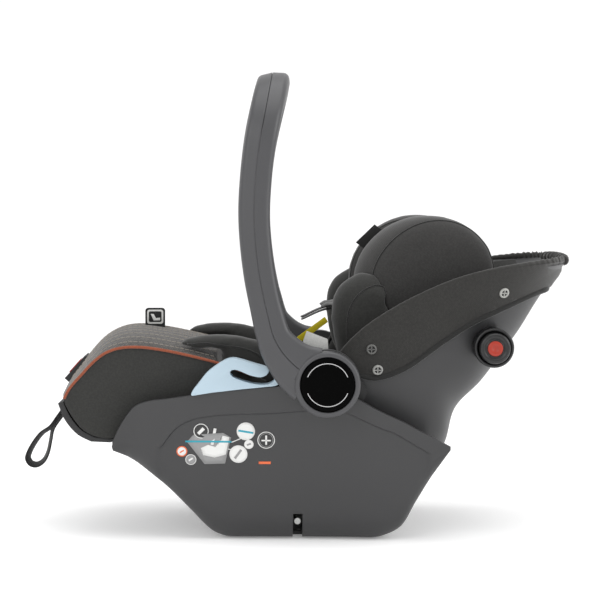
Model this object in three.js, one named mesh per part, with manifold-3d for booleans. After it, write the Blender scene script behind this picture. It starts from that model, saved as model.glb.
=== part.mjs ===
// Infant car seat: a moulded base tub with a carrying handle, a backrest bucket that reclines,
// a leg rest that runs out on a curved track, a sliding headrest and a five point harness.
// Millimetres, +Z up. X runs from the feet (-) to the head (+), Y across the seat.
// The origin is on the floor, on the middle plane, straight under the handle's turning axis.
import * as THREE from 'three';
import { mergeVertices } from 'three/addons/utils/BufferGeometryUtils.js';
import Module from 'manifold-3d';

const wasm = await Module();
wasm.setup();

// ---------------------------------------------------------------- driving dimensions
const HALF_WIDTH = 184; // base tub, middle plane to outer wall at the rim
const WALL = 4; // moulded shell wall
const GAP = 0.4; // between pieces that touch
const RUNNING_GAP = 2.5; // between shells that move past each other

const HANDLE_AXIS = { x: 0, z: 201 };
const RECLINE_AXIS = { x: -29, z: 189 };
const TRACK_CENTRE = { x: -209, z: -64 }; // centre of the leg rest's curved track
const TRACK_RADIUS = 196; // underside of the leg rest's tray
const BELLY_RADIUS = 198; // back of the bucket, around the recline axis
const BACK_PITCH = 40; // degrees, the lying surface above the horizontal

const HUB_RADIUS = 40;
const HUB_THICKNESS = 23.4;
const BUTTON_INSET = 7; // the button's edge, inside the hub's
const BUTTON_TRAVEL = 4.5;
const AXLE_RADIUS = 12;
const BOSS_THICKNESS = 9; // boss on the base wall that carries the handle
const ARM_THICKNESS = 22;
const HANDLE_RISE = 369; // handle axis to the middle of the crossbar
const HANDLE_CORNER = 80; // bend from arm to crossbar

const POD_RADIUS = 19;
const SLOT_WIDTH = 12; // floor slot for the vehicle base's latch
const BAR_RADIUS = 4;
const LEGREST_INSET = 38; // leg rest's side, inside the base rim
const STRAP_WIDTH = 38;
const STRAP_THICKNESS = 2.4;

const SIDES = { left: -1, right: 1 };
const HUB_INNER = HALF_WIDTH + BOSS_THICKNESS + GAP; // the hub's inner face, from the middle plane
const HUB_OUTER = HUB_INNER + HUB_THICKNESS;
const BUTTON_RADIUS = HUB_RADIUS - BUTTON_INSET;
const ARM_MIDDLE = HUB_INNER + HUB_THICKNESS / 2;
const LEGREST_HALF = HALF_WIDTH - LEGREST_INSET;

// ---------------------------------------------------------------- materials
function plastic(color, roughness = 0.55) {
  return new THREE.MeshStandardMaterial({ color, roughness, metalness: 0 });
}
const GREY_PLASTIC = plastic(0x4c4c4d);
const HANDLE_PLASTIC = plastic(0x55565a, 0.42);
const BLACK_PLASTIC = plastic(0x141414, 0.35);
const BLUE_PLASTIC = plastic(0xbfd6e6, 0.4);
const RED_PLASTIC = plastic(0xb3201c, 0.35);
const ORANGE_PLASTIC = plastic(0xe8481c, 0.4);
const FABRIC = plastic(0x3b3b38, 0.9);
const WEBBING = plastic(0x1c1c1c, 0.8);
const STEEL = new THREE.MeshStandardMaterial({ color: 0xb8b8b4, roughness: 0.3, metalness: 1 });

// ---------------------------------------------------------------- solids
const seat = new THREE.Group();

/** Turns a geometry's faces outwards and drops everything but the shape. */
function outward(geometry) {
  const g = geometry.clone();
  for (const name of Object.keys(g.attributes)) if (name !== 'position') g.deleteAttribute(name);
  const merged = mergeVertices(g, 1e-3);
  const index = merged.index.array;
  const p = merged.attributes.position;
  const [a, b, c] = [new THREE.Vector3(), new THREE.Vector3(), new THREE.Vector3()];
  let volume = 0;
  for (let i = 0; i < index.length; i += 3) {
    [a, b, c].forEach((v, k) => v.fromBufferAttribute(p, index[i + k]));
    volume += a.dot(b.cross(c));
  }
  if (volume < 0)
    for (let i = 0; i < index.length; i += 3) [index[i], index[i + 1]] = [index[i + 1], index[i]];
  return merged;
}

function solid(geometry) {
  const g = outward(geometry);
  const triVerts = new Uint32Array(g.index.array);
  const mesh = new wasm.Mesh({ numProp: 3, vertProperties: g.attributes.position.array, triVerts });
  return new wasm.Manifold(mesh);
}

function geometryOf(manifold) {
  const mesh = manifold.getMesh();
  const positions = new Float32Array(mesh.numVert * 3);
  for (let i = 0; i < mesh.numVert; i++)
    positions.set(mesh.vertProperties.subarray(i * mesh.numProp, i * mesh.numProp + 3), i * 3);
  const g = new THREE.BufferGeometry();
  g.setAttribute('position', new THREE.BufferAttribute(positions, 3));
  g.setIndex(new THREE.BufferAttribute(new Uint32Array(mesh.triVerts), 1));
  return g;
}

/** One geometry cut by others. */
function cut(body, ...tools) {
  return geometryOf(tools.reduce((left, tool) => left.subtract(solid(tool)), solid(body)));
}

function join(...bodies) {
  return geometryOf(bodies.map(solid).reduce((all, one) => all.add(one)));
}

function overlap(one, other) {
  return geometryOf(solid(one).intersect(solid(other)));
}

/** Adds a named part to the seat. */
function add(name, geometry, material, x = 0, z = 0) {
  const mesh = new THREE.Mesh(outward(geometry), material);
  mesh.name = name;
  mesh.position.set(x, 0, z);
  seat.add(mesh);
}

/** A closed skin over flat rings of points, all with the same count, with both ends capped. */
function skin(rings) {
  const n = rings[0].length;
  const faces = [];
  for (let i = 0; i + 1 < rings.length; i++)
    for (let j = 0; j < n; j++) {
      const a = i * n + j;
      const b = i * n + ((j + 1) % n);
      faces.push(a, b, b + n, a, b + n, a + n);
    }
  for (const end of [0, rings.length - 1]) {
    const ring = rings[end];
    const centre = ring.reduce((sum, p) => sum.add(p), new THREE.Vector3()).divideScalar(n);
    const normal = new THREE.Vector3();
    ring.forEach((p, j) => {
      const next = ring[(j + 1) % n].clone().sub(centre);
      normal.add(p.clone().sub(centre).cross(next));
    });
    const u = ring[0].clone().sub(centre).projectOnPlane(normal).normalize();
    const v = normal.clone().normalize().cross(u);
    const flat = ring.map((p) => {
      const q = p.clone().sub(centre);
      return new THREE.Vector2(q.dot(u), q.dot(v));
    });
    for (const [a, b, c] of THREE.ShapeUtils.triangulateShape(flat, []))
      faces.push(...(end ? [a, b, c] : [a, c, b]).map((k) => k + end * n));
  }
  const g = new THREE.BufferGeometry();
  const flatPoints = rings.flat().flatMap((p) => [p.x, p.y, p.z]);
  g.setAttribute('position', new THREE.Float32BufferAttribute(flatPoints, 3));
  g.setIndex(faces);
  return g;
}

/** A box between two corners. */
function block(x0, x1, y0, y1, z0, z1) {
  const g = new THREE.BoxGeometry(Math.abs(x1 - x0), Math.abs(y1 - y0), Math.abs(z1 - z0));
  return g.translate((x0 + x1) / 2, (y0 + y1) / 2, (z0 + z1) / 2);
}

/** A solid turned round the Y axis through x, z: profile points are [radius, y]. */
function turned(profile, x = 0, z = 0, segments = 32) {
  const points = profile.map(([r, y]) => new THREE.Vector2(r, y));
  return new THREE.LatheGeometry(points, segments).translate(x, 0, z);
}

function cylinder(radius, y0, y1, x = 0, z = 0, segments = 32) {
  return turned([[0, y0], [radius, y0], [radius, y1], [0, y1]], x, z, segments);
}

/** Height of the leg rest's curved track at x, moved out by off. */
function trackHeight(x, off = 0) {
  return TRACK_CENTRE.z + Math.sqrt((TRACK_RADIUS + off) ** 2 - (x - TRACK_CENTRE.x) ** 2);
}

/** A side view outline, [x, z] points, made solid between two Y planes. */
function slab(outline, y0, y1) {
  const ring = (y) => outline.map(([x, z]) => new THREE.Vector3(x, y, z));
  return skin([ring(y0), ring(y1)]);
}

/** A side view outline as a pad with softened edges: its outer faces are drawn in towards the middle. */
function pad(outline, y0, y1, edge = 10, shrink = 0.86) {
  const [cx, cz] = [0, 1].map((k) => outline.reduce((sum, p) => sum + p[k], 0) / outline.length);
  const ring = (y, s) =>
    outline.map(([x, z]) => new THREE.Vector3(cx + (x - cx) * s, y, cz + (z - cz) * s));
  const step = Math.sign(y1 - y0) * edge;
  return skin([ring(y0, shrink), ring(y0 + step, 1), ring(y1 - step, 1), ring(y1, shrink)]);
}

function circlePoint(centre, radius, degrees) {
  const a = THREE.MathUtils.degToRad(degrees);
  return [centre.x + radius * Math.cos(a), centre.z + radius * Math.sin(a)];
}

// ---------------------------------------------------------------- tubs
// A station is a cross section of a tub: its floor and rim points in side view, its half widths
// at the rim and at the floor, and how far the corner between wall and floor is rounded.
const CORNER_STEPS = 5;
const MOST_FLARE = 0.5; // above the rim, a raised wall leans out no more than this

/** Ring of a tub's section, grown by grow all round and by raise at the rim. */
function tubRing(station, floorLift, grow, raise) {
  const floor = new THREE.Vector2(...station.floor);
  const up = new THREE.Vector2(...station.rim).sub(floor);
  const depth = up.length();
  const height = depth + raise;
  up.normalize();
  const bottom = station.bottom + grow;
  const rimTop = bottom + station.top - station.bottom;
  const lean = (station.top - station.bottom) / depth;
  const corner = Math.min(station.corner, depth * 0.6, bottom * 0.6);
  const curve = new THREE.QuadraticBezierCurve(
    new THREE.Vector2(bottom + lean * corner, floorLift + corner),
    new THREE.Vector2(bottom, floorLift),
    new THREE.Vector2(bottom - corner, floorLift),
  );
  const half = [new THREE.Vector2(rimTop, depth), ...curve.getPoints(CORNER_STEPS)];
  if (raise) half.unshift(new THREE.Vector2(rimTop + Math.min(lean, MOST_FLARE) * raise, height));
  const whole = [...half, ...half.toReversed().map((p) => new THREE.Vector2(-p.x, p.y))];
  return whole.map((p) => new THREE.Vector3(floor.x + up.x * p.y, p.x, floor.y + up.y * p.y));
}

/** Closed block in a tub's outer shape; a negative grow gives the shape of its hollow. */
function tub(stations, grow = 0, raise = 0) {
  return skin(
    stations.map((station, i) => {
      const before = stations[Math.max(0, i - 1)];
      const after = stations[Math.min(stations.length - 1, i + 1)];
      const along = new THREE.Vector2(after.floor[0] - before.floor[0], after.floor[1] - before.floor[1]);
      const up = new THREE.Vector2(station.rim[0] - station.floor[0], station.rim[1] - station.floor[1]);
      const square = Math.abs(along.normalize().cross(up.normalize()));
      return tubRing(station, -grow / Math.max(0.4, square), grow, raise);
    }),
  );
}

/** The same stations with one end carried on in the direction it was going, to cut it open. */
function carriedOn(stations, atStart, distance) {
  const [end, next] = atStart ? [stations[0], stations[1]] : [stations.at(-1), stations.at(-2)];
  const way = new THREE.Vector2(end.floor[0] - next.floor[0], end.floor[1] - next.floor[1]);
  way.setLength(distance);
  const shifted = ([x, z]) => [x + way.x, z + way.y];
  const extra = { ...end, floor: shifted(end.floor), rim: shifted(end.rim) };
  return atStart ? [extra, ...stations] : [...stations, extra];
}

// ---------------------------------------------------------------- base tub
const SIDE_TAPER = 0.21; // the side walls lean in towards the floor
const BASE_PROFILE = [ // x, floor, rim, drawn in from the full half width
  [-264, 114, 124, 22], [-258, 110, 138, 20], [-247, 103, 157, 18], [-236, 96, 170, 16],
  [-222, 85, 176, 13], [-195, 62, 180, 10], [-168, 34, 184, 8], [-142, 8, 188, 6],
  [-124, 1, 190, 4], [-104, 0, 192, 3], [-60, 0, 196, 1], [-20, 0, 198, 0], [20, 0, 189, 0],
  [44, 0, 177, 0], [58, 0, 169, 0], [72, 3, 162, 0.5], [94, 15, 152, 1], [112, 47, 142, 2],
  [132, 82, 132, 3], [152, 117, 121, 4],
];
const BASE_STATIONS = BASE_PROFILE.map(([x, floor, rim, inset]) => ({
  floor: [x, floor],
  rim: [x, rim],
  top: HALF_WIDTH - inset,
  bottom: HALF_WIDTH - inset - (rim - floor) * SIDE_TAPER,
  corner: 32,
}));
const BAR = { x: -35, z: 22 };
const BAR_HALF = HALF_WIDTH - 56;
const RIB_AT = 92; // ribs that hold the latch bar, from the middle plane
const RIB_THICKNESS = 4;
const SUPPORT_AT = 104; // ribs under the seat, and ribs under the leg rest
const RAIL_AT = 120;
const PLATE_THICKNESS = 5;
const TRACK_CLEARANCE = 1.4;
const RECLINE_AXLE_RADIUS = 7;
const BACK_OPENING_HALF = HALF_WIDTH - 42; // opening in the back wall that the bucket passes

function buildBase() {
  const outer = tub(BASE_STATIONS);
  const hollow = tub(carriedOn(BASE_STATIONS, true, 30), -WALL, 60);
  const ribs = Object.values(SIDES).map((side) =>
    block(BAR.x - 24, BAR.x + 24, side * RIB_AT, side * (RIB_AT + RIB_THICKNESS), 1, 44),
  );
  const belly = cylinder(
    BELLY_RADIUS + RUNNING_GAP, -BACK_OPENING_HALF, BACK_OPENING_HALF,
    RECLINE_AXIS.x, RECLINE_AXIS.z, 72,
  );
  const frontPart = block(-300, RECLINE_AXIS.x + 90, -250, 250, -20, 400);
  const axleBores = cylinder(
    RECLINE_AXLE_RADIUS + GAP, -HALF_WIDTH - 1, HALF_WIDTH + 1, RECLINE_AXIS.x, RECLINE_AXIS.z, 20,
  );
  const slots = Object.values(SIDES).map((side) =>
    block(
      BAR.x - SLOT_WIDTH / 2, BAR.x + SLOT_WIDTH / 2,
      side * (RIB_AT + RIB_THICKNESS + 1), side * (HALF_WIDTH + 20), -5, 34,
    ),
  );
  const barBore = cylinder(BAR_RADIUS + GAP, -BAR_HALF - 1, BAR_HALF + 1, BAR.x, BAR.z, 16);
  const shell = join(cut(outer, hollow, axleBores), ...ribs, ...floorPlates());
  add('base_shell', cut(shell, ...slots, barBore, cut(belly, frontPart)), GREY_PLASTIC);
  add('anchor_bar', cylinder(BAR_RADIUS, -BAR_HALF, BAR_HALF, BAR.x, BAR.z, 16), STEEL);
}

/** Upright ribs on the base's floor: one pair carries the seat, the other guides the leg rest. */
function floorPlates() {
  const inHollow = tub(carriedOn(BASE_STATIONS, true, 30), -WALL / 2, 60);
  const overPan = tub(carriedOn(carriedOn(PAN_STATIONS, true, 20), false, 20), GAP, 200);
  const support = [[-126, -10], [-126, 200], [-4, 200], [-4, -10]];
  const trackX = [-246, -226, -206, -186, -166];
  const rail = [[-246, 0], ...trackX.map((x) => [x, trackHeight(x, -TRACK_CLEARANCE)]), [-166, 0]];
  const upright = (outline, y) =>
    overlap(slab(outline, y, y + Math.sign(y) * PLATE_THICKNESS), inHollow);
  return Object.values(SIDES).flatMap((side) => [
    cut(upright(support, side * SUPPORT_AT), overPan), upright(rail, side * RAIL_AT),
  ]);
}

// ---------------------------------------------------------------- handle bearings on the base
const BOSS_DEPTH = 6; // how far the boss reaches in over the rim
const FLANGE_RADIUS = 16;
const FLANGE_THICKNESS = 2.4;
const RECESS_DEPTH = 11; // the hub's recess, which holds the button and its travel

function buildBearings() {
  const baseWall = tub(BASE_STATIONS, GAP, GAP);
  for (const [name, side] of Object.entries(SIDES)) {
    const at = (y) => side * y;
    const boss = cylinder(
      HUB_RADIUS + 1, at(HALF_WIDTH - BOSS_DEPTH), at(HALF_WIDTH + BOSS_THICKNESS),
      HANDLE_AXIS.x, HANDLE_AXIS.z,
    );
    const bore = cylinder(
      AXLE_RADIUS + GAP, at(HALF_WIDTH - 30), at(HALF_WIDTH + 30), HANDLE_AXIS.x, HANDLE_AXIS.z,
    );
    add(`pivot_boss_${name}`, cut(boss, baseWall, bore), GREY_PLASTIC);

    const flangeAt = HUB_OUTER - RECESS_DEPTH + GAP;
    const axle = [
      [0, at(HALF_WIDTH - BOSS_DEPTH + 1)], [AXLE_RADIUS, at(HALF_WIDTH - BOSS_DEPTH + 1)],
      [AXLE_RADIUS, at(flangeAt)], [FLANGE_RADIUS, at(flangeAt)],
      [FLANGE_RADIUS, at(flangeAt + FLANGE_THICKNESS)], [0, at(flangeAt + FLANGE_THICKNESS)],
    ];
    add(`handle_axle_${name}`, cut(turned(axle, HANDLE_AXIS.x, HANDLE_AXIS.z), baseWall), STEEL);
  }
}

// ---------------------------------------------------------------- vehicle belt guides
const BELT_SLOT = 7; // clear width of the slot for the lap belt
const GUIDE_THICKNESS = 26;
const GUIDE_OUTER = HALF_WIDTH + 2;

function guideOutline() {
  const upper = [
    [-166, 180], [-166, 187], [-157, 199], [-146, 213], [-132, 224], [-122, 229.5], [-114, 231],
    [-106, 229.5], [-88, 224], [-72, 219], [-70, 215.5], [-74, 210], [-80, 207.5], [-92, 209],
    [-113, 216.5],
  ];
  const slotEnd = [-118.5, 213.5];
  const lower = [
    [-116, 216.5 - BELT_SLOT - 0.5], [-97, 208.5 - BELT_SLOT], [-82, 206 - BELT_SLOT],
    [-70, 206 - BELT_SLOT], [-65, 202.5], [-61, 208], [-57, 204], [-61, 197], [-61, 180],
  ];
  return [...upper, slotEnd, ...lower];
}

function buildBeltGuides() {
  const baseOuter = tub(BASE_STATIONS, GAP, GAP);
  for (const [name, side] of Object.entries(SIDES)) {
    const plate = slab(guideOutline(), side * (GUIDE_OUTER - GUIDE_THICKNESS), side * GUIDE_OUTER);
    add(`belt_guide_${name}`, cut(plate, baseOuter), BLUE_PLASTIC);
  }
}

// ---------------------------------------------------------------- backrest bucket
const BUCKET_TOP = HALF_WIDTH - 8; // bucket's half width at its rim, amidships
const bellyPoint = (degrees) => circlePoint(RECLINE_AXIS, BELLY_RADIUS, degrees);
const BACK_FLAT = { low: [243, 254], high: [267, 295] }; // the flat of the back, under the head end
const BUCKET_PROFILE = [ // floor point, rim point, drawn in at the rim, drawn in at the floor
  [[62, 52], [8, 212], 14, 64], [bellyPoint(-46.5), [22, 236], 8, 60],
  [bellyPoint(-35), [48, 262], 4, 52], [bellyPoint(-22), [80, 284], 1, 48],
  [bellyPoint(-9), [115, 303], 0, 46], [[201, 195], [157, 321], 0, 46],
  [BACK_FLAT.low, [201, 333], 3, 50], [BACK_FLAT.high, [243, 339], 13, 62],
  [[286, 321], [278, 342], 32, 84], [[297, 331], [295, 343], 58, 106], [[305, 336], [304, 343], 92, 138],
];
const BUCKET_STATIONS = BUCKET_PROFILE.map(([floor, rim, rimInset, floorInset]) => ({
  floor, rim, top: BUCKET_TOP - rimInset, bottom: BUCKET_TOP - floorInset, corner: 70,
}));
const HEAD_END_STATIONS = 2; // stations that form the bucket's closed head end
const POD = { x: 205, z: 243 };
const SOCKET_WALL = 2.5;
const LEVER = { edge: 8, length: 46, halfWidth: 52, thickness: 3.4 }; // top edge, below the flat's end
const COVER_THICKNESS = 3.4;
const COVER_GAP = 1.2;
const COVER_ROLL = 9; // how far the cover turns in over the rim

/** The lever's plate or its window, in the flat of the back; grown all round by grow. */
function leverPlate(grow, depth) {
  const high = new THREE.Vector2(...BACK_FLAT.high);
  const along = high.clone().sub(new THREE.Vector2(...BACK_FLAT.low)).normalize();
  const out = new THREE.Vector2(along.y, -along.x);
  const foot = high.addScaledVector(along, -LEVER.edge);
  const point = (s, d) => [foot.x + along.x * s + out.x * d, foot.y + along.y * s + out.y * d];
  const outline = [
    point(grow, depth[0]), point(grow, depth[1]),
    point(-LEVER.length - grow, depth[1]), point(-LEVER.length - grow, depth[0]),
  ];
  return slab(outline, -LEVER.halfWidth - grow, LEVER.halfWidth + grow);
}

function buildBackrest() {
  const outer = tub(BUCKET_STATIONS);
  const hollowStations = carriedOn(BUCKET_STATIONS.slice(0, -HEAD_END_STATIONS), true, 30);
  const hollow = tub(hollowStations, -WALL, 40);
  const podBores = Object.values(SIDES).map((side) =>
    cylinder(
      POD_RADIUS + SOCKET_WALL + GAP, side * (BUCKET_TOP - 60), side * (BUCKET_TOP + 60), POD.x, POD.z,
    ),
  );
  const window = leverPlate(1, [-14, 14]);
  add('backrest_shell', cut(outer, hollow, ...podBores, window), GREY_PLASTIC);
  add('release_lever', leverPlate(0, [-LEVER.thickness - 0.6, -0.6]), BLACK_PLASTIC);

  // The cover hugs the bucket's rim outside, and its hem runs down the sides and across the back.
  const hem = [
    [30, -50], [30, 214], [46, 207], [62, 205], [95, 216], [144, 250], [180, 273], [217, 290],
    [268, 310], [330, 322], [330, -50],
  ];
  const outside = COVER_GAP + COVER_THICKNESS;
  const clothOuter = tub(carriedOn(BUCKET_STATIONS, false, outside), outside, outside);
  const clothInner = tub(carriedOn(BUCKET_STATIONS, false, COVER_GAP), COVER_GAP, COVER_GAP);
  const mouth = tub(hollowStations, -COVER_ROLL, 60);
  const lowEnd = block(-100, 30, -300, 300, 0, 400);
  add(
    'backrest_cover',
    cut(clothOuter, clothInner, tub(BUCKET_STATIONS, GAP), mouth, slab(hem, -300, 300), lowEnd),
    FABRIC,
  );
}

// ---------------------------------------------------------------- side impact pods
const POD_OUT = 14; // the pod stands this far out of the bucket when it is drawn out
const POD_CAP_RADIUS = 9;

function buildPods() {
  const face = BUCKET_TOP;
  for (const [name, side] of Object.entries(SIDES)) {
    const at = (y) => side * y;
    const socketRadius = POD_RADIUS + SOCKET_WALL;
    const socket = [
      [POD_RADIUS + GAP, at(face - 34)], [socketRadius, at(face - 34)],
      [socketRadius, at(face + 3)], [POD_RADIUS + GAP, at(face + 3)], [POD_RADIUS + GAP, at(face - 34)],
    ];
    add(`pod_socket_${name}`, turned(socket, POD.x, POD.z), BLACK_PLASTIC);

    const front = face + POD_OUT;
    const pod = [
      [0, at(face - 32)], [POD_RADIUS, at(face - 32)], [POD_RADIUS, at(front - 4)],
      [POD_RADIUS - 4, at(front)], [POD_CAP_RADIUS + GAP, at(front)],
      [POD_CAP_RADIUS + GAP, at(front - 3)], [0, at(front - 3)],
    ];
    add(`impact_pod_${name}`, turned(pod, POD.x, POD.z), BLACK_PLASTIC);
    add(
      `pod_cap_${name}`,
      cylinder(POD_CAP_RADIUS, at(front - 3 + GAP), at(front + 0.6), POD.x, POD.z, 24),
      ORANGE_PLASTIC,
    );
  }
}

// ---------------------------------------------------------------- snap fasteners of the cover
const SNAP_RADIUS = 7;
const SNAP_HEIGHT = 2;
const SNAPS = [ // x, z
  [219, 310], [55, 240], [62, 216],
];

function buildSnaps() {
  const outside = COVER_GAP + COVER_THICKNESS + GAP;
  const clothOuter = tub(BUCKET_STATIONS, outside, outside);
  for (const [name, side] of Object.entries(SIDES))
    SNAPS.forEach(([x, z], i) => {
      const stud = solid(cylinder(SNAP_RADIUS, side * 60, side * (HALF_WIDTH + 60), x, z, 20));
      const shell = tub(BUCKET_STATIONS, outside + SNAP_HEIGHT, outside);
      const cap = stud.intersect(solid(shell)).subtract(solid(clothOuter));
      add(`snap_${name}_${i + 1}`, geometryOf(cap), STEEL);
    });
}

// ---------------------------------------------------------------- recline axles
// Each axle sits in the base's wall; an arm on the bucket's side turns on it.
const RECLINE_ARM_OUTER = HALF_WIDTH - 16;

function buildRecline() {
  const { x, z } = RECLINE_AXIS;
  const bucket = tub(BUCKET_STATIONS, GAP, GAP);
  const outline = [
    [x, z - 15], [x - 11, z - 10], [x - 15, z], [x - 11, z + 10], [x, z + 15],
    [x + 72, z + 14], [x + 80, z], [x + 72, z - 18],
  ];
  for (const [name, side] of Object.entries(SIDES)) {
    const axleEnds = [side * (RECLINE_ARM_OUTER - 14), side * (HALF_WIDTH - WALL)];
    add(`recline_axle_${name}`, cylinder(RECLINE_AXLE_RADIUS, ...axleEnds, x, z, 20), STEEL);
    const plate = slab(outline, side * (RECLINE_ARM_OUTER - 9), side * RECLINE_ARM_OUTER);
    const bore = cylinder(
      RECLINE_AXLE_RADIUS + GAP, side * (RECLINE_ARM_OUTER - 20), side * (RECLINE_ARM_OUTER + 20), x, z, 20,
    );
    add(`recline_arm_${name}`, cut(plate, bore, bucket), BLACK_PLASTIC);
  }
}

// ---------------------------------------------------------------- cushions of the backrest
const CUSHION_HALF = HALF_WIDTH - 58;

function buildBackrestCushions() {
  const lying = [
    [26, 122], [70, 160], [110, 196], [150, 232], [190, 266], [230, 300], [262, 322],
    [254, 308], [228, 262], [192, 205], [158, 168], [130, 120], [90, 92], [56, 84],
  ];
  const hollowStations = carriedOn(BUCKET_STATIONS.slice(0, -HEAD_END_STATIONS), true, 30);
  const inBucket = tub(hollowStations, -WALL - GAP, 60);
  const foam = pad(lying, -CUSHION_HALF, CUSHION_HALF, 14, 0.9);
  add('backrest_cushion', overlap(foam, inBucket), FABRIC);
  const bolster = [
    [8, 276], [9, 300], [18, 318], [38, 332], [62, 337], [92, 326], [120, 290], [118, 250],
    [92, 214], [52, 190], [28, 206], [14, 240],
  ];
  for (const [name, side] of Object.entries(SIDES)) {
    const y = [side * (HALF_WIDTH - 88), side * (HALF_WIDTH - 52)];
    add(
      `side_bolster_${name}`,
      cut(pad(bolster, ...y, 12, 0.82), cushionGrown(lying), headrestWing(side, 2)), FABRIC,
    );
  }
}

/** The lying surface's block, a little larger, to cut what rests on it. */
function cushionGrown(outline) {
  const [cx, cz] = [0, 1].map((k) => outline.reduce((sum, p) => sum + p[k], 0) / outline.length);
  const grown = outline.map(([x, z]) => [cx + (x - cx) * 1.02, cz + (z - cz) * 1.02]);
  return slab(grown, -CUSHION_HALF - 1, CUSHION_HALF + 1);
}

// ---------------------------------------------------------------- headrest
const PITCH = THREE.MathUtils.degToRad(BACK_PITCH);
const UP_BACK = new THREE.Vector2(Math.cos(PITCH), Math.sin(PITCH)); // along the lying surface
const OFF_BACK = new THREE.Vector2(-UP_BACK.y, UP_BACK.x); // away from it
const HEAD_FOOT = new THREE.Vector2(118, 218); // lower end of the headrest on the lying surface
const WING_SPAN = { inner: 62, outer: 132 };

/** A point given along the lying surface and off it. */
function backPoint(along, off) {
  const p = HEAD_FOOT.clone().addScaledVector(UP_BACK, along).addScaledVector(OFF_BACK, off);
  return [p.x, p.y];
}

function buildHeadrest() {
  const board = [backPoint(0, 6), backPoint(150, 6), backPoint(150, 10), backPoint(0, 10)];
  add('headrest_board', slab(board, -100, 100), BLACK_PLASTIC);
  const grip = [
    backPoint(150.5, 2), backPoint(164, 2), backPoint(168, 8), backPoint(164, 14), backPoint(150.5, 14),
  ];
  add('headrest_grip', pad(grip, -34, 34, 6, 0.8), BLACK_PLASTIC);
  const centre = [
    backPoint(4, 11), backPoint(146, 11), backPoint(150, 20), backPoint(138, 34),
    backPoint(70, 38), backPoint(12, 32), backPoint(0, 20),
  ];
  add('headrest_cushion', pad(centre, -WING_SPAN.inner + 6, WING_SPAN.inner - 6, 10, 0.9), FABRIC);

  for (const [name, side] of Object.entries(SIDES)) {
    const below = backPoint(-200, 11.5);
    const beyond = backPoint(400, 11.5);
    const underBoard = slab(
      [below, beyond, [beyond[0] + 300, beyond[1] - 400], [below[0] + 300, below[1] - 400]],
      side * 40, side * 200,
    );
    add(`headrest_wing_${name}`, cut(headrestWing(side), underBoard), FABRIC);
  }
}

/** A wing is a rounded cup: its outline leans forward from the outer face inwards. */
function headrestWing(side, grow = 0) {
  const { inner, outer } = WING_SPAN;
  const steps = [ // distance from the middle plane, outline scale, lean towards the face
    [outer + grow, 0.66, 0], [outer - 5 + grow, 0.88, 0], [outer - 14, 1, 3], [outer - 30, 1.02, 15],
    [inner + 18, 0.98, 27], [inner + 6 - grow, 0.88, 32], [inner - grow, 0.7, 32],
  ];
  const middle = new THREE.Vector2(136, 322);
  const radius = 77;
  const corners = 24;
  return skin(steps.map(([y, scale, lean]) =>
    Array.from({ length: corners }, (_, i) => {
      const a = (i / corners) * 2 * Math.PI;
      const r = radius * scale * (1 + 0.06 * Math.cos(2 * (a - PITCH))) + grow;
      return new THREE.Vector3(
        middle.x - lean * 0.85 + r * Math.cos(a), side * y, middle.y + lean * 0.2 + r * Math.sin(a),
      );
    }),
  ));
}

// ---------------------------------------------------------------- seat in the base
const PAN_STATIONS = [
  [[-132, 136], [-120, 176]], [[-100, 110], [-92, 158]], [[-50, 88], [-46, 140]], [[8, 78], [8, 128]],
].map(([floor, rim]) => ({
  floor, rim, top: HALF_WIDTH - 44, bottom: HALF_WIDTH - 64, corner: 30,
}));

function buildSeat() {
  const hollow = tub(carriedOn(carriedOn(PAN_STATIONS, true, 20), false, 20), -WALL, 40);
  add('seat_pan', cut(tub(PAN_STATIONS), hollow), BLACK_PLASTIC);
  const cushion = [
    [-126, 146], [-98, 121], [-50, 98], [4, 88], [6, 116], [-20, 124], [-56, 142], [-92, 172],
    [-118, 204], [-130, 214],
  ];
  const half = HALF_WIDTH - 74;
  add('seat_cushion', pad(cushion, -half, half, 12, 0.92), FABRIC);
  const bolster = [
    [-182, 247], [-172, 254], [-145, 258], [-113, 255], [-79, 246], [-62, 228], [-50, 196],
    [-52, 160], [-96, 160], [-124, 178], [-129, 238], [-150, 243],
  ];
  for (const [name, side] of Object.entries(SIDES)) {
    const y = [side * (half + 1), side * (HALF_WIDTH - 48)];
    const pan = tub(carriedOn(carriedOn(PAN_STATIONS, true, 20), false, 20), GAP, GAP);
    add(`thigh_bolster_${name}`, cut(pad(bolster, ...y, 9, 0.9), pan), FABRIC);
  }
}

// ---------------------------------------------------------------- leg rest
const LEGREST_CROWN = 20; // the pad's middle stands above its sides
const LEGREST_NOSE = 11; // and its nose reaches further forward
const TRAY_THICKNESS = 4;

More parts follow.
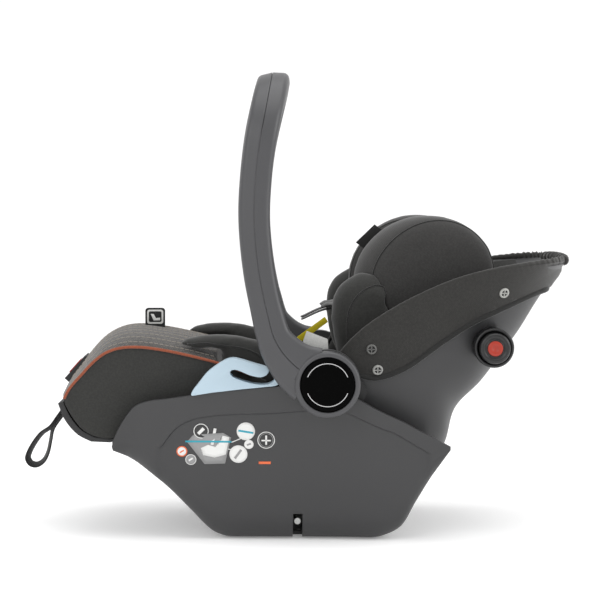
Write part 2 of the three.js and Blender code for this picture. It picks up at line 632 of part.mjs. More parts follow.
function buildLegrest() {
  const trackX = [-268, -240, -209, -180, -152];
  const onTrack = (off) => trackX.map((x) => [x, trackHeight(x, off)]);
  const under = onTrack(0);
  const over = onTrack(TRAY_THICKNESS);
  const noseOuter = [[-292, 124], [-309, 133], [-325, 152], [-333, 172]];
  const noseInner = [[-288, 130], [-304, 139], [-318, 156], [-326, 174]];
  const tray = [...under.toReversed(), ...noseOuter, ...noseInner.toReversed(), ...over];
  add('legrest_tray', slab(tray, -LEGREST_HALF + 1, LEGREST_HALF - 1), BLACK_PLASTIC);

  // The pad is lofted across the seat: its top is crowned and its nose is drawn forward.
  const top = [
    [-325, 178], [-318, 190], [-303, 207], [-289, 222], [-274, 234], [-255, 240], [-231, 241],
    [-200, 237], [-163, 229], [-136, 222],
  ];
  const rest = onTrack(TRAY_THICKNESS + GAP);
  const padNose = [[-287, 130.6], [-303, 139.8], [-316, 156.6], [-324, 175]];
  const rings = [-1, -0.95, -0.8, -0.45, 0, 0.45, 0.8, 0.95, 1].map((share) => {
    const crown = 1 - share ** 2;
    const inset = Math.abs(share) === 1 ? 5 : 0;
    const topPoints = top.map(([x, z], i) => [
      x - (LEGREST_NOSE * crown * (top.length - i)) / top.length,
      z + (LEGREST_CROWN * crown - inset) * Math.min(1, i / 4),
    ]);
    return [...topPoints, [-136, 160], ...rest.toReversed(), ...padNose].map(
      ([x, z]) => new THREE.Vector3(x, share * LEGREST_HALF, z),
    );
  });
  const housing = noseBlock(ADJUSTER, 0, [-ADJUSTER.depth, 2]);
  const housingRecess = noseBlock(ADJUSTER, 1, [-ADJUSTER.depth - 1, 40]);
  const key = noseBlock(KEY, 0, [-3, 3.4]);
  const keyRecess = noseBlock(KEY, KEY_CLEARANCE, [-3 - KEY_CLEARANCE - ADJUSTER_TRAVEL, 40]);
  const bow = slab(loopOutline().outer, -STRAP_WIDTH / 2, STRAP_WIDTH / 2);
  add('legrest_cushion', cut(skin(rings), housingRecess, bow), FABRIC);
  add('harness_adjuster', cut(housing, keyRecess), BLACK_PLASTIC);
  add('adjuster_key', key, RED_PLASTIC);
}

// The harness adjuster is let into the pad's nose, in the middle; its key tips in when pressed.
const ADJUSTER = { x: -322, z: 206, halfWidth: 24, length: 40, depth: 14 };
const KEY = { halfWidth: 13, length: 22 };
const KEY_CLEARANCE = 0.8; // round the push keys
const ADJUSTER_TRAVEL = 3;
const NOSE_PITCH = THREE.MathUtils.degToRad(48);
const NOSE_UP = new THREE.Vector2(Math.cos(NOSE_PITCH), Math.sin(NOSE_PITCH));
const NOSE_OUT = new THREE.Vector2(-NOSE_UP.y, NOSE_UP.x);

/** A block on the nose slope, a size grown by grow, between two distances out of the slope. */
function noseBlock({ halfWidth, length }, grow, [low, high]) {
  const point = (s, d) => [
    ADJUSTER.x + NOSE_UP.x * s + NOSE_OUT.x * d, ADJUSTER.z + NOSE_UP.y * s + NOSE_OUT.y * d,
  ];
  const half = length / 2 + grow;
  const outline = [point(-half, low), point(half, low), point(half, high), point(-half, high)];
  return slab(outline, -halfWidth - grow, halfWidth + grow);
}

// The pull loop of the harness strap hangs from the nose: a stem, and a drop shaped bow.
function loopOutline() {
  const outer = [
    [-334.5, 161], [-349, 141], [-358, 128], [-370, 119], [-381, 105], [-388, 92], [-389.5, 84],
    [-385, 76.5], [-376, 74.5], [-366.5, 80.5], [-360, 93], [-356.5, 110], [-354.5, 126], [-345, 140],
    [-333.5, 155.5],
  ];
  const inner = [
    [-359, 124], [-369, 116.5], [-378.5, 104], [-385, 91.5], [-386.5, 85.5], [-383, 79.5],
    [-376.5, 78], [-368.5, 83], [-362.8, 94], [-359.2, 110],
  ];
  return { outer, inner };
}

function buildPullLoop() {
  const { outer, inner } = loopOutline();
  const width = STRAP_WIDTH * 0.55;
  add('pull_loop', cut(slab(outer, -width / 2, width / 2), slab(inner, -width, width)), WEBBING);
}

// ---------------------------------------------------------------- harness
const SHOULDER_AT = 40; // shoulder straps, from the middle plane
const BUCKLE = { x: -64, z: 214, halfWidth: 22, height: 58, thickness: 15 };
const BUCKLE_TRAVEL = 2;
const PAD_THICKNESS = 7;
const BUCKLE_LEAN = THREE.MathUtils.degToRad(72);
const BUCKLE_UP = new THREE.Vector2(Math.cos(BUCKLE_LEAN), Math.sin(BUCKLE_LEAN));
const BUCKLE_OUT = new THREE.Vector2(-BUCKLE_UP.y, BUCKLE_UP.x);

function buckleBlock(along, out, y0, y1) {
  const point = (s, d) => [
    BUCKLE.x + BUCKLE_UP.x * s + BUCKLE_OUT.x * d, BUCKLE.z + BUCKLE_UP.y * s + BUCKLE_OUT.y * d,
  ];
  return slab(
    [point(along[0], out[0]), point(along[1], out[0]), point(along[1], out[1]), point(along[0], out[1])],
    y0, y1,
  );
}

/**
 * A strap along side view points: a ribbon of even thickness whose middle goes from yStart to yEnd.
 * It covers the share from..to of the line, and lies off it by off.
 */
function ribbon(points, yStart, yEnd, width, thickness, off = 0, from = 0, to = 1) {
  const curve = new THREE.CatmullRomCurve3(
    points.map(([x, z], i) => new THREE.Vector3(x, yStart + ((yEnd - yStart) * i) / (points.length - 1), z)),
  );
  const steps = 3 * (points.length - 1);
  const rings = [];
  for (let i = 0; i <= steps; i++) {
    const share = from + ((to - from) * i) / steps;
    const p = curve.getPoint(share);
    const t = curve.getTangent(share);
    const across = new THREE.Vector3(0, 1, 0).projectOnPlane(t).normalize();
    const outwards = across.clone().cross(t).normalize();
    rings.push([[-1, -1], [1, -1], [1, 1], [-1, 1]].map(([a, b]) =>
      p.clone().addScaledVector(across, (a * width) / 2)
        .addScaledVector(outwards, off + (b * thickness) / 2),
    ));
  }
  return skin(rings);
}

function buildHarness() {
  const half = BUCKLE.height / 2;
  const t = BUCKLE.thickness / 2;
  const keyBlock = (grow, out) => buckleBlock([-12 - grow, 12 + grow], out, -11 - grow, 11 + grow);
  const key = keyBlock(0, [t - 3, t + 1.6]);
  const keyRecess = keyBlock(KEY_CLEARANCE, [t - 3 - KEY_CLEARANCE - BUCKLE_TRAVEL, t + 20]);
  const buckleStrap = ribbon([[-70, 158], [-72, 170], [-74, 183.5]], 0, 0, STRAP_WIDTH * 0.8, STRAP_THICKNESS);
  add('crotch_strap', buckleStrap, WEBBING);
  add(
    'buckle_body', cut(buckleBlock([-half, half], [-t, t], -BUCKLE.halfWidth, BUCKLE.halfWidth), keyRecess),
    BLACK_PLASTIC,
  );
  add('buckle_key', key, RED_PLASTIC);
  for (const [name, side] of Object.entries(SIDES)) {
    add(
      `buckle_tongue_${name}`,
      buckleBlock([half + GAP, half + 16], [-2, 2], side * 2, side * 24), BLACK_PLASTIC,
    );
    const line = [[94, 187], [90, 214], [83, 240], [66, 263], [36, 281], [4, 283], [-28, 270]];
    const ends = [side * SHOULDER_AT, side * 24];
    add(
      `shoulder_strap_${name}`, ribbon(line, ...ends, STRAP_WIDTH * 0.7, STRAP_THICKNESS), WEBBING,
    );
    const lift = (STRAP_THICKNESS + PAD_THICKNESS) / 2 + GAP;
    add(
      `shoulder_pad_${name}`,
      ribbon(line, ...ends, STRAP_WIDTH * 1.15, PAD_THICKNESS, lift, 0.3, 0.84), FABRIC,
    );
  }
}

// ---------------------------------------------------------------- carrying handle
const HANDLE_LINE = new THREE.CatmullRomCurve3(
  [ // the arm's middle line, as shares of the rise above the handle axis
    [0, 0], [-39, 0.062], [-62, 0.139], [-73, 0.238], [-83, 0.374], [-88.5, 0.54], [-86.5, 0.675],
    [-80.5, 0.81], [-71, 0.932], [-65, 1],
  ].map(([x, share]) => new THREE.Vector3(HANDLE_AXIS.x + x, 0, HANDLE_AXIS.z + share * HANDLE_RISE)),
  false, 'centripetal',
);
const ARM_HALF_WIDTHS = [ // distance along the arm, half the arm's width in side view
  [0, 38], [34, 34], [60, 27], [90, 20.8], [130, 19.2], [220, 19.2], [300, 19.4], [420, 20],
];
const SHELL_GAP = 0.2; // each half shell stops this far from the parting plane

function armHalfWidth(distance) {
  const i = Math.max(1, ARM_HALF_WIDTHS.findIndex(([d]) => d > distance));
  const [[d0, w0], [d1, w1]] = [ARM_HALF_WIDTHS[i - 1], ARM_HALF_WIDTHS[i]];
  return w0 + ((w1 - w0) * (distance - d0)) / (d1 - d0);
}

/** Stations along the whole handle, from the left hub over the crossbar to the right hub. */
function handleStations() {
  const total = HANDLE_LINE.getLength();
  const straight = total - HANDLE_CORNER;
  const half = [];
  for (let i = 0; i <= 9; i++) half.push({ t: 18 + ((straight - 18) * i) / 9, y: ARM_MIDDLE });
  for (let i = 1; i <= 6; i++) {
    const a = (i / 6) * (Math.PI / 2);
    half.push({
      t: straight + HANDLE_CORNER * Math.sin(a),
      y: ARM_MIDDLE - HANDLE_CORNER + HANDLE_CORNER * Math.cos(a),
      turn: a,
    });
  }
  const stations = [
    ...half.map((s) => ({ ...s, side: -1 })), ...half.toReversed().map((s) => ({ ...s, side: 1 })),
  ];
  return stations.map(({ t, y, turn = 0, side }) => {
    const share = Math.min(1, t / total);
    const tangent = HANDLE_LINE.getTangentAt(share);
    const ahead = tangent.clone().multiplyScalar(-side * Math.cos(turn));
    ahead.y = Math.sin(turn);
    const level = new THREE.Vector3(0.995, 0, 0.1); // the crossbar is turned level with the ground
    const width = new THREE.Vector3(tangent.z, 0, -tangent.x).lerp(level, Math.sin(turn));
    width.projectOnPlane(ahead).normalize();
    return {
      middle: HANDLE_LINE.getPointAt(share).setY(side * y),
      width,
      out: ahead.clone().cross(width).normalize(),
      half: armHalfWidth(t),
    };
  });
}

/** Half of the hollow handle: way -1 is the half towards the feet, +1 the one towards the head. */
function handleShell(way) {
  const wall = 3;
  const round = 7;
  const t = ARM_THICKNESS / 2;
  const rings = handleStations().map(({ middle, width, out, half }) => {
    const section = [
      [SHELL_GAP, t], [half - round, t], [half - round * 0.3, t - round * 0.3], [half, t - round],
      [half, round - t], [half - round * 0.3, round * 0.3 - t], [half - round, -t], [SHELL_GAP, -t],
      [SHELL_GAP, wall - t], [half - round, wall - t], [half - wall, round - t],
      [half - wall, t - round], [half - round, t - wall], [SHELL_GAP, t - wall],
    ];
    return section.map(([w, o]) =>
      middle.clone().addScaledVector(width, way * w).addScaledVector(out, o),
    );
  });
  return skin(rings);
}

function buildHandle() {
  const hubs = Object.values(SIDES).map((side) =>
    cylinder(
      HUB_RADIUS + GAP, side * (HUB_INNER - 40), side * (HUB_OUTER + 40), HANDLE_AXIS.x, HANDLE_AXIS.z, 48,
    ),
  );
  add('handle_front_shell', cut(handleShell(-1), ...hubs), HANDLE_PLASTIC);
  add('handle_rear_shell', cut(handleShell(1), ...hubs), HANDLE_PLASTIC);
  for (const [name, side] of Object.entries(SIDES)) {
    const at = (y) => side * y;
    const floor = HUB_OUTER - RECESS_DEPTH;
    const hub = [
      [AXLE_RADIUS + GAP, at(HUB_INNER)], [HUB_RADIUS, at(HUB_INNER)], [HUB_RADIUS, at(HUB_OUTER - 3)],
      [HUB_RADIUS - 3, at(HUB_OUTER)], [BUTTON_RADIUS + GAP, at(HUB_OUTER)],
      [BUTTON_RADIUS + GAP, at(floor)], [AXLE_RADIUS + GAP, at(floor)], [AXLE_RADIUS + GAP, at(HUB_INNER)],
    ];
    add(`handle_hub_${name}`, turned(hub, HANDLE_AXIS.x, HANDLE_AXIS.z, 48), HANDLE_PLASTIC);
    const back = floor + FLANGE_THICKNESS + GAP + BUTTON_TRAVEL + 0.6;
    const button = [
      [0, at(back)], [BUTTON_RADIUS, at(back)], [BUTTON_RADIUS, at(HUB_OUTER)],
      [BUTTON_RADIUS - 2, at(HUB_OUTER + 1.2)], [0, at(HUB_OUTER + 1.6)],
    ];
    add(`handle_button_${name}`, turned(button, HANDLE_AXIS.x, HANDLE_AXIS.z, 48), BLACK_PLASTIC);
  }
}

buildBase();
buildBearings();
buildBeltGuides();
buildRecline();
buildSeat();
buildBackrest();
buildPods();
buildSnaps();
buildBackrestCushions();
buildHeadrest();
buildLegrest();
buildPullLoop();
buildHarness();
buildHandle();

export default seat;
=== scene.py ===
"""Looks of an infant car seat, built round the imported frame. Sizes here are millimetres in the
frame's axes: X from the feet (-) to the head (+), Y across the seat, Z up from the floor."""

import bmesh
import bpy
import numpy as np
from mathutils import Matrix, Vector
from mathutils.bvhtree import BVHTree


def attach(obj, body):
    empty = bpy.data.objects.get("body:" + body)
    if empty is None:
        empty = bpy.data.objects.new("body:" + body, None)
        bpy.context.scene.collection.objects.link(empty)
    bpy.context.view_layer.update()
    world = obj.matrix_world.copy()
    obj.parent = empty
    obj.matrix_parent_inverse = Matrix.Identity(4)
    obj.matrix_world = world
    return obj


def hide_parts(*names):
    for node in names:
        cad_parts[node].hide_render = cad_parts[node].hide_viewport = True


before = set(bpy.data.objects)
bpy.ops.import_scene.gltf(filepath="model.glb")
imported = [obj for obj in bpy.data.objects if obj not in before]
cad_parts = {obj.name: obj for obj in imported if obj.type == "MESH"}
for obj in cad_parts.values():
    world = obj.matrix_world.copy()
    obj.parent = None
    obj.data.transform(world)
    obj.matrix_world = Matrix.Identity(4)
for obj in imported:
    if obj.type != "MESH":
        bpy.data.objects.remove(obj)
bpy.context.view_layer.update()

# ---------------------------------------------------------------- studio
# A pale seamless floor, one broad soft light from above and two at the sides, and a long lens
# held low at the seat's left side.
MM = 0.001
CAMERA_AT = (-0.070, -2.600, 0.420)
CAMERA_AIM = (-0.070, 0.0, 0.2932)
LENS_MM = 119.1
SIDES = {"left": -1, "right": 1}


def linear(hex_code):
    """sRGB hex to linear: each channel c becomes ((c + 0.055) / 1.055) ** 2.4, or c / 12.92 low down."""
    c = np.array([int(hex_code[i:i + 2], 16) for i in (1, 3, 5)]) / 255
    rgb = np.where(c > 0.04045, ((c + 0.055) / 1.055) ** 2.4, c / 12.92)
    return (*rgb.tolist(), 1.0)


def add_node(tree, kind, settings=None, links=None):
    """Adds one node; settings go to its inputs or its own properties, links join inputs to outputs."""
    made = tree.nodes.new(kind)
    for key, value in (settings or {}).items():
        if key in made.inputs:
            made.inputs[key].default_value = value
        else:
            setattr(made, key, value)
    for key, output in (links or {}).items():
        tree.links.new(output, made.inputs[key])
    return made


def new_material(name):
    """An empty node material: its tree, and its output node."""
    made = bpy.data.materials.new(name)
    made.use_nodes = True
    made.node_tree.nodes.clear()
    return made, made.node_tree, add_node(made.node_tree, "ShaderNodeOutputMaterial")


def mesh_piece(name, points, faces, material, smooth=True):
    """A mesh object from points in millimetres and a list or array of faces."""
    mesh = bpy.data.meshes.new(name)
    mesh.from_pydata((np.asarray(points, float) * MM).tolist(), [], np.asarray(faces).tolist())
    mesh.polygons.foreach_set("use_smooth", np.full(len(mesh.polygons), smooth))
    mesh.materials.append(material)
    mesh.update()
    piece = bpy.data.objects.new(name, mesh)
    bpy.context.scene.collection.objects.link(piece)
    return piece


floor_paint, tree, out = new_material("floor_matt_paint")
shade = add_node(tree, "ShaderNodeBsdfPrincipled",
                 {"Base Color": linear("#f4f4f4"), "Roughness": 0.9, "Specular IOR Level": 0.1,
                  "Emission Color": (1, 1, 1, 1), "Emission Strength": 0.17})
tree.links.new(shade.outputs[0], out.inputs[0])
sweep = np.array([[-7000, 0], [3000, 0], [4200, 160], [5000, 900], [5300, 2200], [5300, 6000]], float)
floor_x = np.array([-9000.0, 9000.0])
floor_points = np.array([[x, y, z - 0.4] for y, z in sweep for x in floor_x])
floor_quads = [(2 * k, 2 * k + 1, 2 * k + 3, 2 * k + 2) for k in range(len(sweep) - 1)]
floor = mesh_piece("studio_floor", floor_points, floor_quads, floor_paint)

world = bpy.data.worlds.new("studio_world")
bpy.context.scene.world = world
world.use_nodes = True
world.node_tree.nodes["Background"].inputs["Color"].default_value = (1, 1, 1, 1)
world.node_tree.nodes["Background"].inputs["Strength"].default_value = 0.85


def area_light(name, place, aim, size, power):
    """A square soft box at place, turned towards aim."""
    light = bpy.data.lights.new(name, "AREA")
    light.size = size
    light.energy = power
    lamp = bpy.data.objects.new(name, light)
    lamp.location = place
    direction = np.array(aim) - np.array(place)
    lamp.rotation_euler = Vector(direction).to_track_quat("-Z", "Y").to_euler()
    bpy.context.scene.collection.objects.link(lamp)


area_light("top_box", (0.2, -0.3, 2.4), (0, 0, 0.2), 2.2, 26)
area_light("front_box", (-1.3, -2.2, 1.3), (0, 0, 0.25), 1.4, 14)
area_light("head_box", (2.1, -0.9, 1.1), (0.1, 0, 0.3), 1.2, 18)
area_light("foot_box", (-2.1, 0.6, 1.2), (-0.1, 0, 0.3), 1.0, 10)

camera = bpy.data.objects.new("camera", bpy.data.cameras.new("camera"))
camera.location = CAMERA_AT
aim = np.array(CAMERA_AIM) - np.array(CAMERA_AT)
camera.rotation_euler = Vector(aim).to_track_quat("-Z", "Y").to_euler()
camera.data.lens = LENS_MM
camera.data.shift_x = 0.0507
camera.data.clip_end = 60
bpy.context.scene.collection.objects.link(camera)
bpy.context.scene.camera = camera
bpy.context.scene.view_settings.view_transform = "Standard"

# ---------------------------------------------------------------- base tub
# Injection moulded polypropylene with a fine spark-eroded grain. A raised rim band runs round
# the side walls, and the panel under it is set back. The bucket's belly passes the back wall.
HALF_WIDTH = 184
WALL = 4
SIDE_TAPER = 0.21
PANEL_SET_BACK = 2.6
SLOT_X = (-41.0, -29.0)
SLOT_TOP = 34
BASE_PROFILE = np.array([  # x, floor, rim, drawn in from the full half width
    [-264, 114, 124, 22], [-258, 110, 138, 20], [-247, 103, 157, 18], [-236, 96, 170, 16],
    [-222, 85, 176, 13], [-195, 62, 180, 10], [-168, 34, 184, 8], [-142, 8, 188, 6],
    [-124, 1, 190, 4], [-104, 0.3, 192, 3], [-60, 0.3, 196, 1], [-20, 0.3, 198, 0],
    [20, 0.3, 189, 0], [44, 0.3, 177, 0], [58, 0.3, 169, 0], [72, 3, 162, 0.5],
    [94, 15, 152, 1], [112, 47, 142, 2], [132, 82, 132, 3], [152, 117, 121, 4],
], float)
PANEL_EDGE = np.array([  # x, z of the step between the rim band and the set back panel
    [-270, 60], [-219, 102], [-204, 120], [-186, 143], [-167, 154], [-137, 160], [-70, 163],
    [37, 167], [48, 160], [139, 106], [160, 93],
], float)


def spline(points, count=None, at=None):
    """Centripetal Catmull-Rom curve through the points (Barry and Goldman's pyramid of weighted
    means), sampled at count places evenly spaced along its length, or at the given shares."""
    p = np.asarray(points, float)
    p = np.vstack([2 * p[0] - p[1], p, 2 * p[-1] - p[-2]])
    gap = np.sqrt(np.linalg.norm(np.diff(p, axis=0), axis=1))
    knot = np.concatenate([[0], np.cumsum(gap)])
    k0, k1, k2, k3 = (knot[i:len(knot) - 3 + i][:, None, None] for i in range(4))
    a, b, c, d = (p[i:len(p) - 3 + i][:, None, :] for i in range(4))
    t = k1 + (k2 - k1) * np.linspace(0, 1, 24, endpoint=False)[None, :, None]
    ab = (a * (k1 - t) + b * (t - k0)) / (k1 - k0)
    bc = (b * (k2 - t) + c * (t - k1)) / (k2 - k1)
    cd = (c * (k3 - t) + d * (t - k2)) / (k3 - k2)
    abc = (ab * (k2 - t) + bc * (t - k0)) / (k2 - k0)
    bcd = (bc * (k3 - t) + cd * (t - k1)) / (k3 - k1)
    dense = ((abc * (k2 - t) + bcd * (t - k1)) / (k2 - k1)).reshape(-1, p.shape[1])
    dense = np.vstack([dense, p[-2]])
    run = np.concatenate([[0], np.cumsum(np.linalg.norm(np.diff(dense, axis=0), axis=1))])
    places = np.linspace(0, 1, count) if at is None else np.asarray(at)
    return np.stack([np.interp(places * run[-1], run, col) for col in dense.T], -1)


def step(low, high, x):
    """Smooth step from 0 at low to 1 at high: 3 s^2 - 2 s^3."""
    s = np.clip((x - low) / (high - low), 0, 1)
    return s * s * (3 - 2 * s)


def grid_faces(rows, cols, wrap_rows=False, wrap_cols=False, start=0):
    """Quads between neighbouring rows and columns of a grid of points."""
    i = np.arange(rows if wrap_rows else rows - 1)[:, None]
    j = np.arange(cols if wrap_cols else cols - 1)[None, :]
    i2, j2 = (i + 1) % rows, (j + 1) % cols
    quads = np.stack([i * cols + j, i * cols + j2, i2 * cols + j2, i2 * cols + j], -1)
    return quads.reshape(-1, 4) + start


def grid_piece(name, grid, material, wrap_rows=False, wrap_cols=False, keep=None, flip=False):
    """A piece from a grid of points; keep is a mask of the quads that stay."""
    faces = grid_faces(*grid.shape[:2], wrap_rows, wrap_cols)
    if keep is not None:
        faces = faces[keep.ravel()]
    if flip:
        faces = faces[:, ::-1]
    return mesh_piece(name, grid.reshape(-1, 3), faces, material)


def thicken(piece, thickness, offset=-1, bevel=0.0, segments=2):
    """Gives a sheet its wall, and breaks its sharp edges."""
    wall = piece.modifiers.new("wall", "SOLIDIFY")
    wall.thickness = thickness * MM
    wall.offset = offset
    if bevel:
        soften(piece, bevel, segments)
    return piece


def soften(piece, width, segments=2, angle=40):
    """A small round on every edge sharper than the angle."""
    edge = piece.modifiers.new("edge", "BEVEL")
    edge.width = width * MM
    edge.segments = segments
    edge.limit_method = "ANGLE"
    edge.angle_limit = np.radians(angle)
    edge.harden_normals = False
    return piece


def fit(piece, body, slot, *replaced):
    """Fixes a piece to its body and hides the frame parts it stands for. slot is not used."""
    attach(piece, body)
    if replaced:
        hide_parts(*replaced)
    return piece


def moulded(name, hex_code, roughness, grain=0.0011, depth=0.10, speck=0.05):
    """Moulded polypropylene: a diffuse grey with a soft sheen. grain is the spark-eroded pit size
    in metres, drawn coarser than the real 0.2 mm so that it shows."""
    made, tree, out = new_material(name)
    where = add_node(tree, "ShaderNodeTexCoord").outputs["Object"]
    pits = add_node(tree, "ShaderNodeTexNoise",
                    {"Scale": 1 / grain, "Detail": 2.0, "Roughness": 0.6}, {"Vector": where})
    flow = add_node(tree, "ShaderNodeTexNoise", {"Scale": 9.0, "Detail": 3.0}, {"Vector": where})
    base = np.array(linear(hex_code))
    tone = add_node(tree, "ShaderNodeMix", {"data_type": "RGBA"}, {"Factor": flow.outputs[0]})
    tone.inputs["A"].default_value = (*(base[:3] * (1 - speck)), 1)
    tone.inputs["B"].default_value = (*(base[:3] * (1 + speck)), 1)
    sheen = add_node(tree, "ShaderNodeMapRange",
                     {"To Min": roughness - 0.05, "To Max": roughness + 0.07},
                     {"Value": pits.outputs[0]})
    bump = add_node(tree, "ShaderNodeBump", {"Strength": depth, "Distance": 0.0004},
                    {"Height": pits.outputs[0]})
    shade = add_node(tree, "ShaderNodeBsdfPrincipled", {"IOR": 1.49},
                     {"Base Color": tone.outputs["Result"], "Roughness": sheen.outputs[0],
                      "Normal": bump.outputs[0]})
    tree.links.new(shade.outputs[0], out.inputs[0])
    return made


BASE_PP = moulded("polypropylene_grained_charcoal", "#323233", 0.46)
INNER_PP = moulded("polypropylene_grained_black", "#1d1d1e", 0.55)


def tub_section(bottom, top, corner, height, wall_rows, corner_rows=8, floor_rows=9):
    """Half of a tub's section, from the rim to the middle: a straight wall from (top, height) down
    to the corner, a quadratic Bezier round the corner, and a flat floor. wall_rows holds, for each
    station, the heights of the wall's rows. Gives half widths and heights, one row per station."""
    bottom, top, corner, height = (np.asarray(a, float)[:, None] for a in (bottom, top, corner, height))
    wall_y = bottom + (top - bottom) * wall_rows / height
    s = np.linspace(0, 1, corner_rows + 1)[None, 1:]
    start_y = bottom + (top - bottom) * corner / height
    round_y = (1 - s) ** 2 * start_y + 2 * s * (1 - s) * bottom + s ** 2 * (bottom - corner)
    round_z = (1 - s) ** 2 * corner
    flat = np.linspace(1, 0, floor_rows + 1)[None, 1:]
    flat_y = (bottom - corner) * flat
    return np.hstack([wall_y, round_y, flat_y]), np.hstack([wall_rows, round_z, flat_y * 0])


def mirrored(half):
    """Joins a half section to its mirror image: columns run from the -Y rim to the +Y rim."""
    left = half * np.array([1, -1, 1])
    return np.concatenate([left, half[:, -2::-1]], 1)


def base_surface():
    """The base's outer skin. Rows run along X; columns go down one wall, over the floor and up the
    other. The wall's rows bunch at the panel's edge, and below it are set back by a smooth step."""
    xs = np.sort(np.concatenate([
        np.linspace(-264, -100, 60), np.linspace(-100, 40, 34)[1:], np.linspace(40, 152, 44)[1:],
        [SLOT_X[0] - 0.1, SLOT_X[0], SLOT_X[1], SLOT_X[1] + 0.1],
    ]))
    fine = spline(BASE_PROFILE, 900)
    floor_z, rim_z, inset = (np.interp(xs, fine[:, 0], fine[:, k]) for k in (1, 2, 3))
    floor_z = np.where((xs > -106) & (xs < 60), 0.3, np.maximum(floor_z, 0.3))
    height = rim_z - floor_z
    corner = np.minimum(32, height * 0.6)
    edge = spline(PANEL_EDGE, 600)
    edge_z = np.interp(xs, edge[:, 0], edge[:, 1]) - floor_z
    room = height - corner
    edge_h = np.clip(edge_z, corner + 0.2 * room, corner + 0.85 * room)
    slot_h = np.clip(SLOT_TOP - floor_z, corner + 0.04 * room, corner + 0.12 * room)[:, None]
    slot_h = np.where((xs > -60) & (xs < -10), SLOT_TOP - floor_z, slot_h[:, 0])[:, None]
    fall = np.minimum(3.0, 0.1 * room)[:, None]
    t = lambda n: np.linspace(0, 1, n, endpoint=False)[None]
    top, mid = height[:, None], edge_h[:, None]
    rows = np.hstack([
        top + (mid + fall * 0.2 - top) * t(12), mid + fall * 0.2 - fall * t(5),
        mid - fall * 0.8 + (slot_h - mid + fall * 0.8) * t(22),
        slot_h + (corner[:, None] - slot_h) * np.linspace(0, 1, 4)[None],
    ])
    half = HALF_WIDTH - inset
    y, z = tub_section(half - height * SIDE_TAPER, half, corner, height, rows)
    depth_in = PANEL_SET_BACK * step(4, 16, edge_z - corner) * step(2, 12, height - edge_z)
    below = step(-0.2 * fall, 0.8 * fall, edge_h[:, None] - z) * step(0, 24, z + 8)
    y = np.where(z > 0, y - depth_in[:, None] * below, y)
    x = np.repeat(xs[:, None], y.shape[1], 1)
    grid = np.stack([x, y, z + floor_z[:, None]], -1)
    # the back wall stops lower in the middle, where the bucket's belly comes through
    stop = 112 + 40 * step(138, 150, np.abs(y[-1]))
    first = 40.0
    share = np.clip((x - first) / (xs[-1] - first), 0, 1)
    new_x = np.where(x > first, first + share * (stop[None] - first), x)
    for k in range(grid.shape[1]):
        column = grid[:, k].copy()
        for axis in (1, 2):
            grid[:, k, axis] = np.interp(new_x[:, k], column[:, 0], column[:, axis])
    grid[:, :, 0] = new_x
    whole = mirrored(grid)
    centre = (whole[:-1, :-1] + whole[1:, 1:]) / 2
    in_slot = ((centre[..., 0] > SLOT_X[0]) & (centre[..., 0] < SLOT_X[1])
               & (centre[..., 2] < SLOT_TOP) & (np.abs(centre[..., 1]) > 96))
    return whole, ~in_slot


base_grid, base_keep = base_surface()
base = grid_piece("base_tub", base_grid, BASE_PP, keep=base_keep)
thicken(base, WALL, bevel=0.9)
fit(base, "base", "shell_grey", "base_shell")


def turned(name, profile, x, z, material, segments=72):
    """A profile of (radius, y) points turned round the Y axis through x, z. The ends of the
    profile lie on the axis, or it closes on itself."""
    profile = np.asarray(profile, float)
    closed = bool(np.allclose(profile[0], profile[-1]))
    if closed:
        profile = profile[:-1]
    a = np.linspace(0, 2 * np.pi, segments, endpoint=False)[:, None]
    r, y = profile[None, :, 0], profile[None, :, 1]
    grid = np.stack([x + r * np.cos(a), y + 0 * a, z + r * np.sin(a)], -1)
    piece = grid_piece(name, grid, material, wrap_rows=True, wrap_cols=closed)
    weld(piece)
    return piece


def weld(piece, distance=0.0002):
    """Merges points that coincide and turns all faces outwards."""
    work = bmesh.new()
    work.from_mesh(piece.data)
    bmesh.ops.remove_doubles(work, verts=work.verts, dist=distance * 0.1)
    bmesh.ops.dissolve_degenerate(work, edges=work.edges, dist=1e-6)
    bmesh.ops.recalc_face_normals(work, faces=work.faces)
    work.to_mesh(piece.data)
    work.free()


def extruded(name, outline, y0, y1, material, bevel=0.0, segments=2, smooth=False):
    """A side view outline of (x, z) points made solid between two planes of Y."""
    outline = np.asarray(outline, float)
    n = len(outline)
    ring = lambda y: np.stack([outline[:, 0], np.full(n, y), outline[:, 1]], -1)
    faces = grid_faces(2, n, wrap_cols=True).tolist() + [list(range(n)), list(range(2 * n - 1, n - 1, -1))]
    mesh = bpy.data.meshes.new(name)
    mesh.from_pydata((np.vstack([ring(y0), ring(y1)]) * MM).tolist(), [], faces)
    mesh.materials.append(material)
    mesh.polygons.foreach_set("use_smooth", np.full(len(mesh.polygons), smooth))
    piece = bpy.data.objects.new(name, mesh)
    bpy.context.scene.collection.objects.link(piece)
    weld(piece)
    if bevel:
        soften(piece, bevel, segments)
        mesh.polygons.foreach_set("use_smooth", np.full(len(mesh.polygons), True))
    return piece


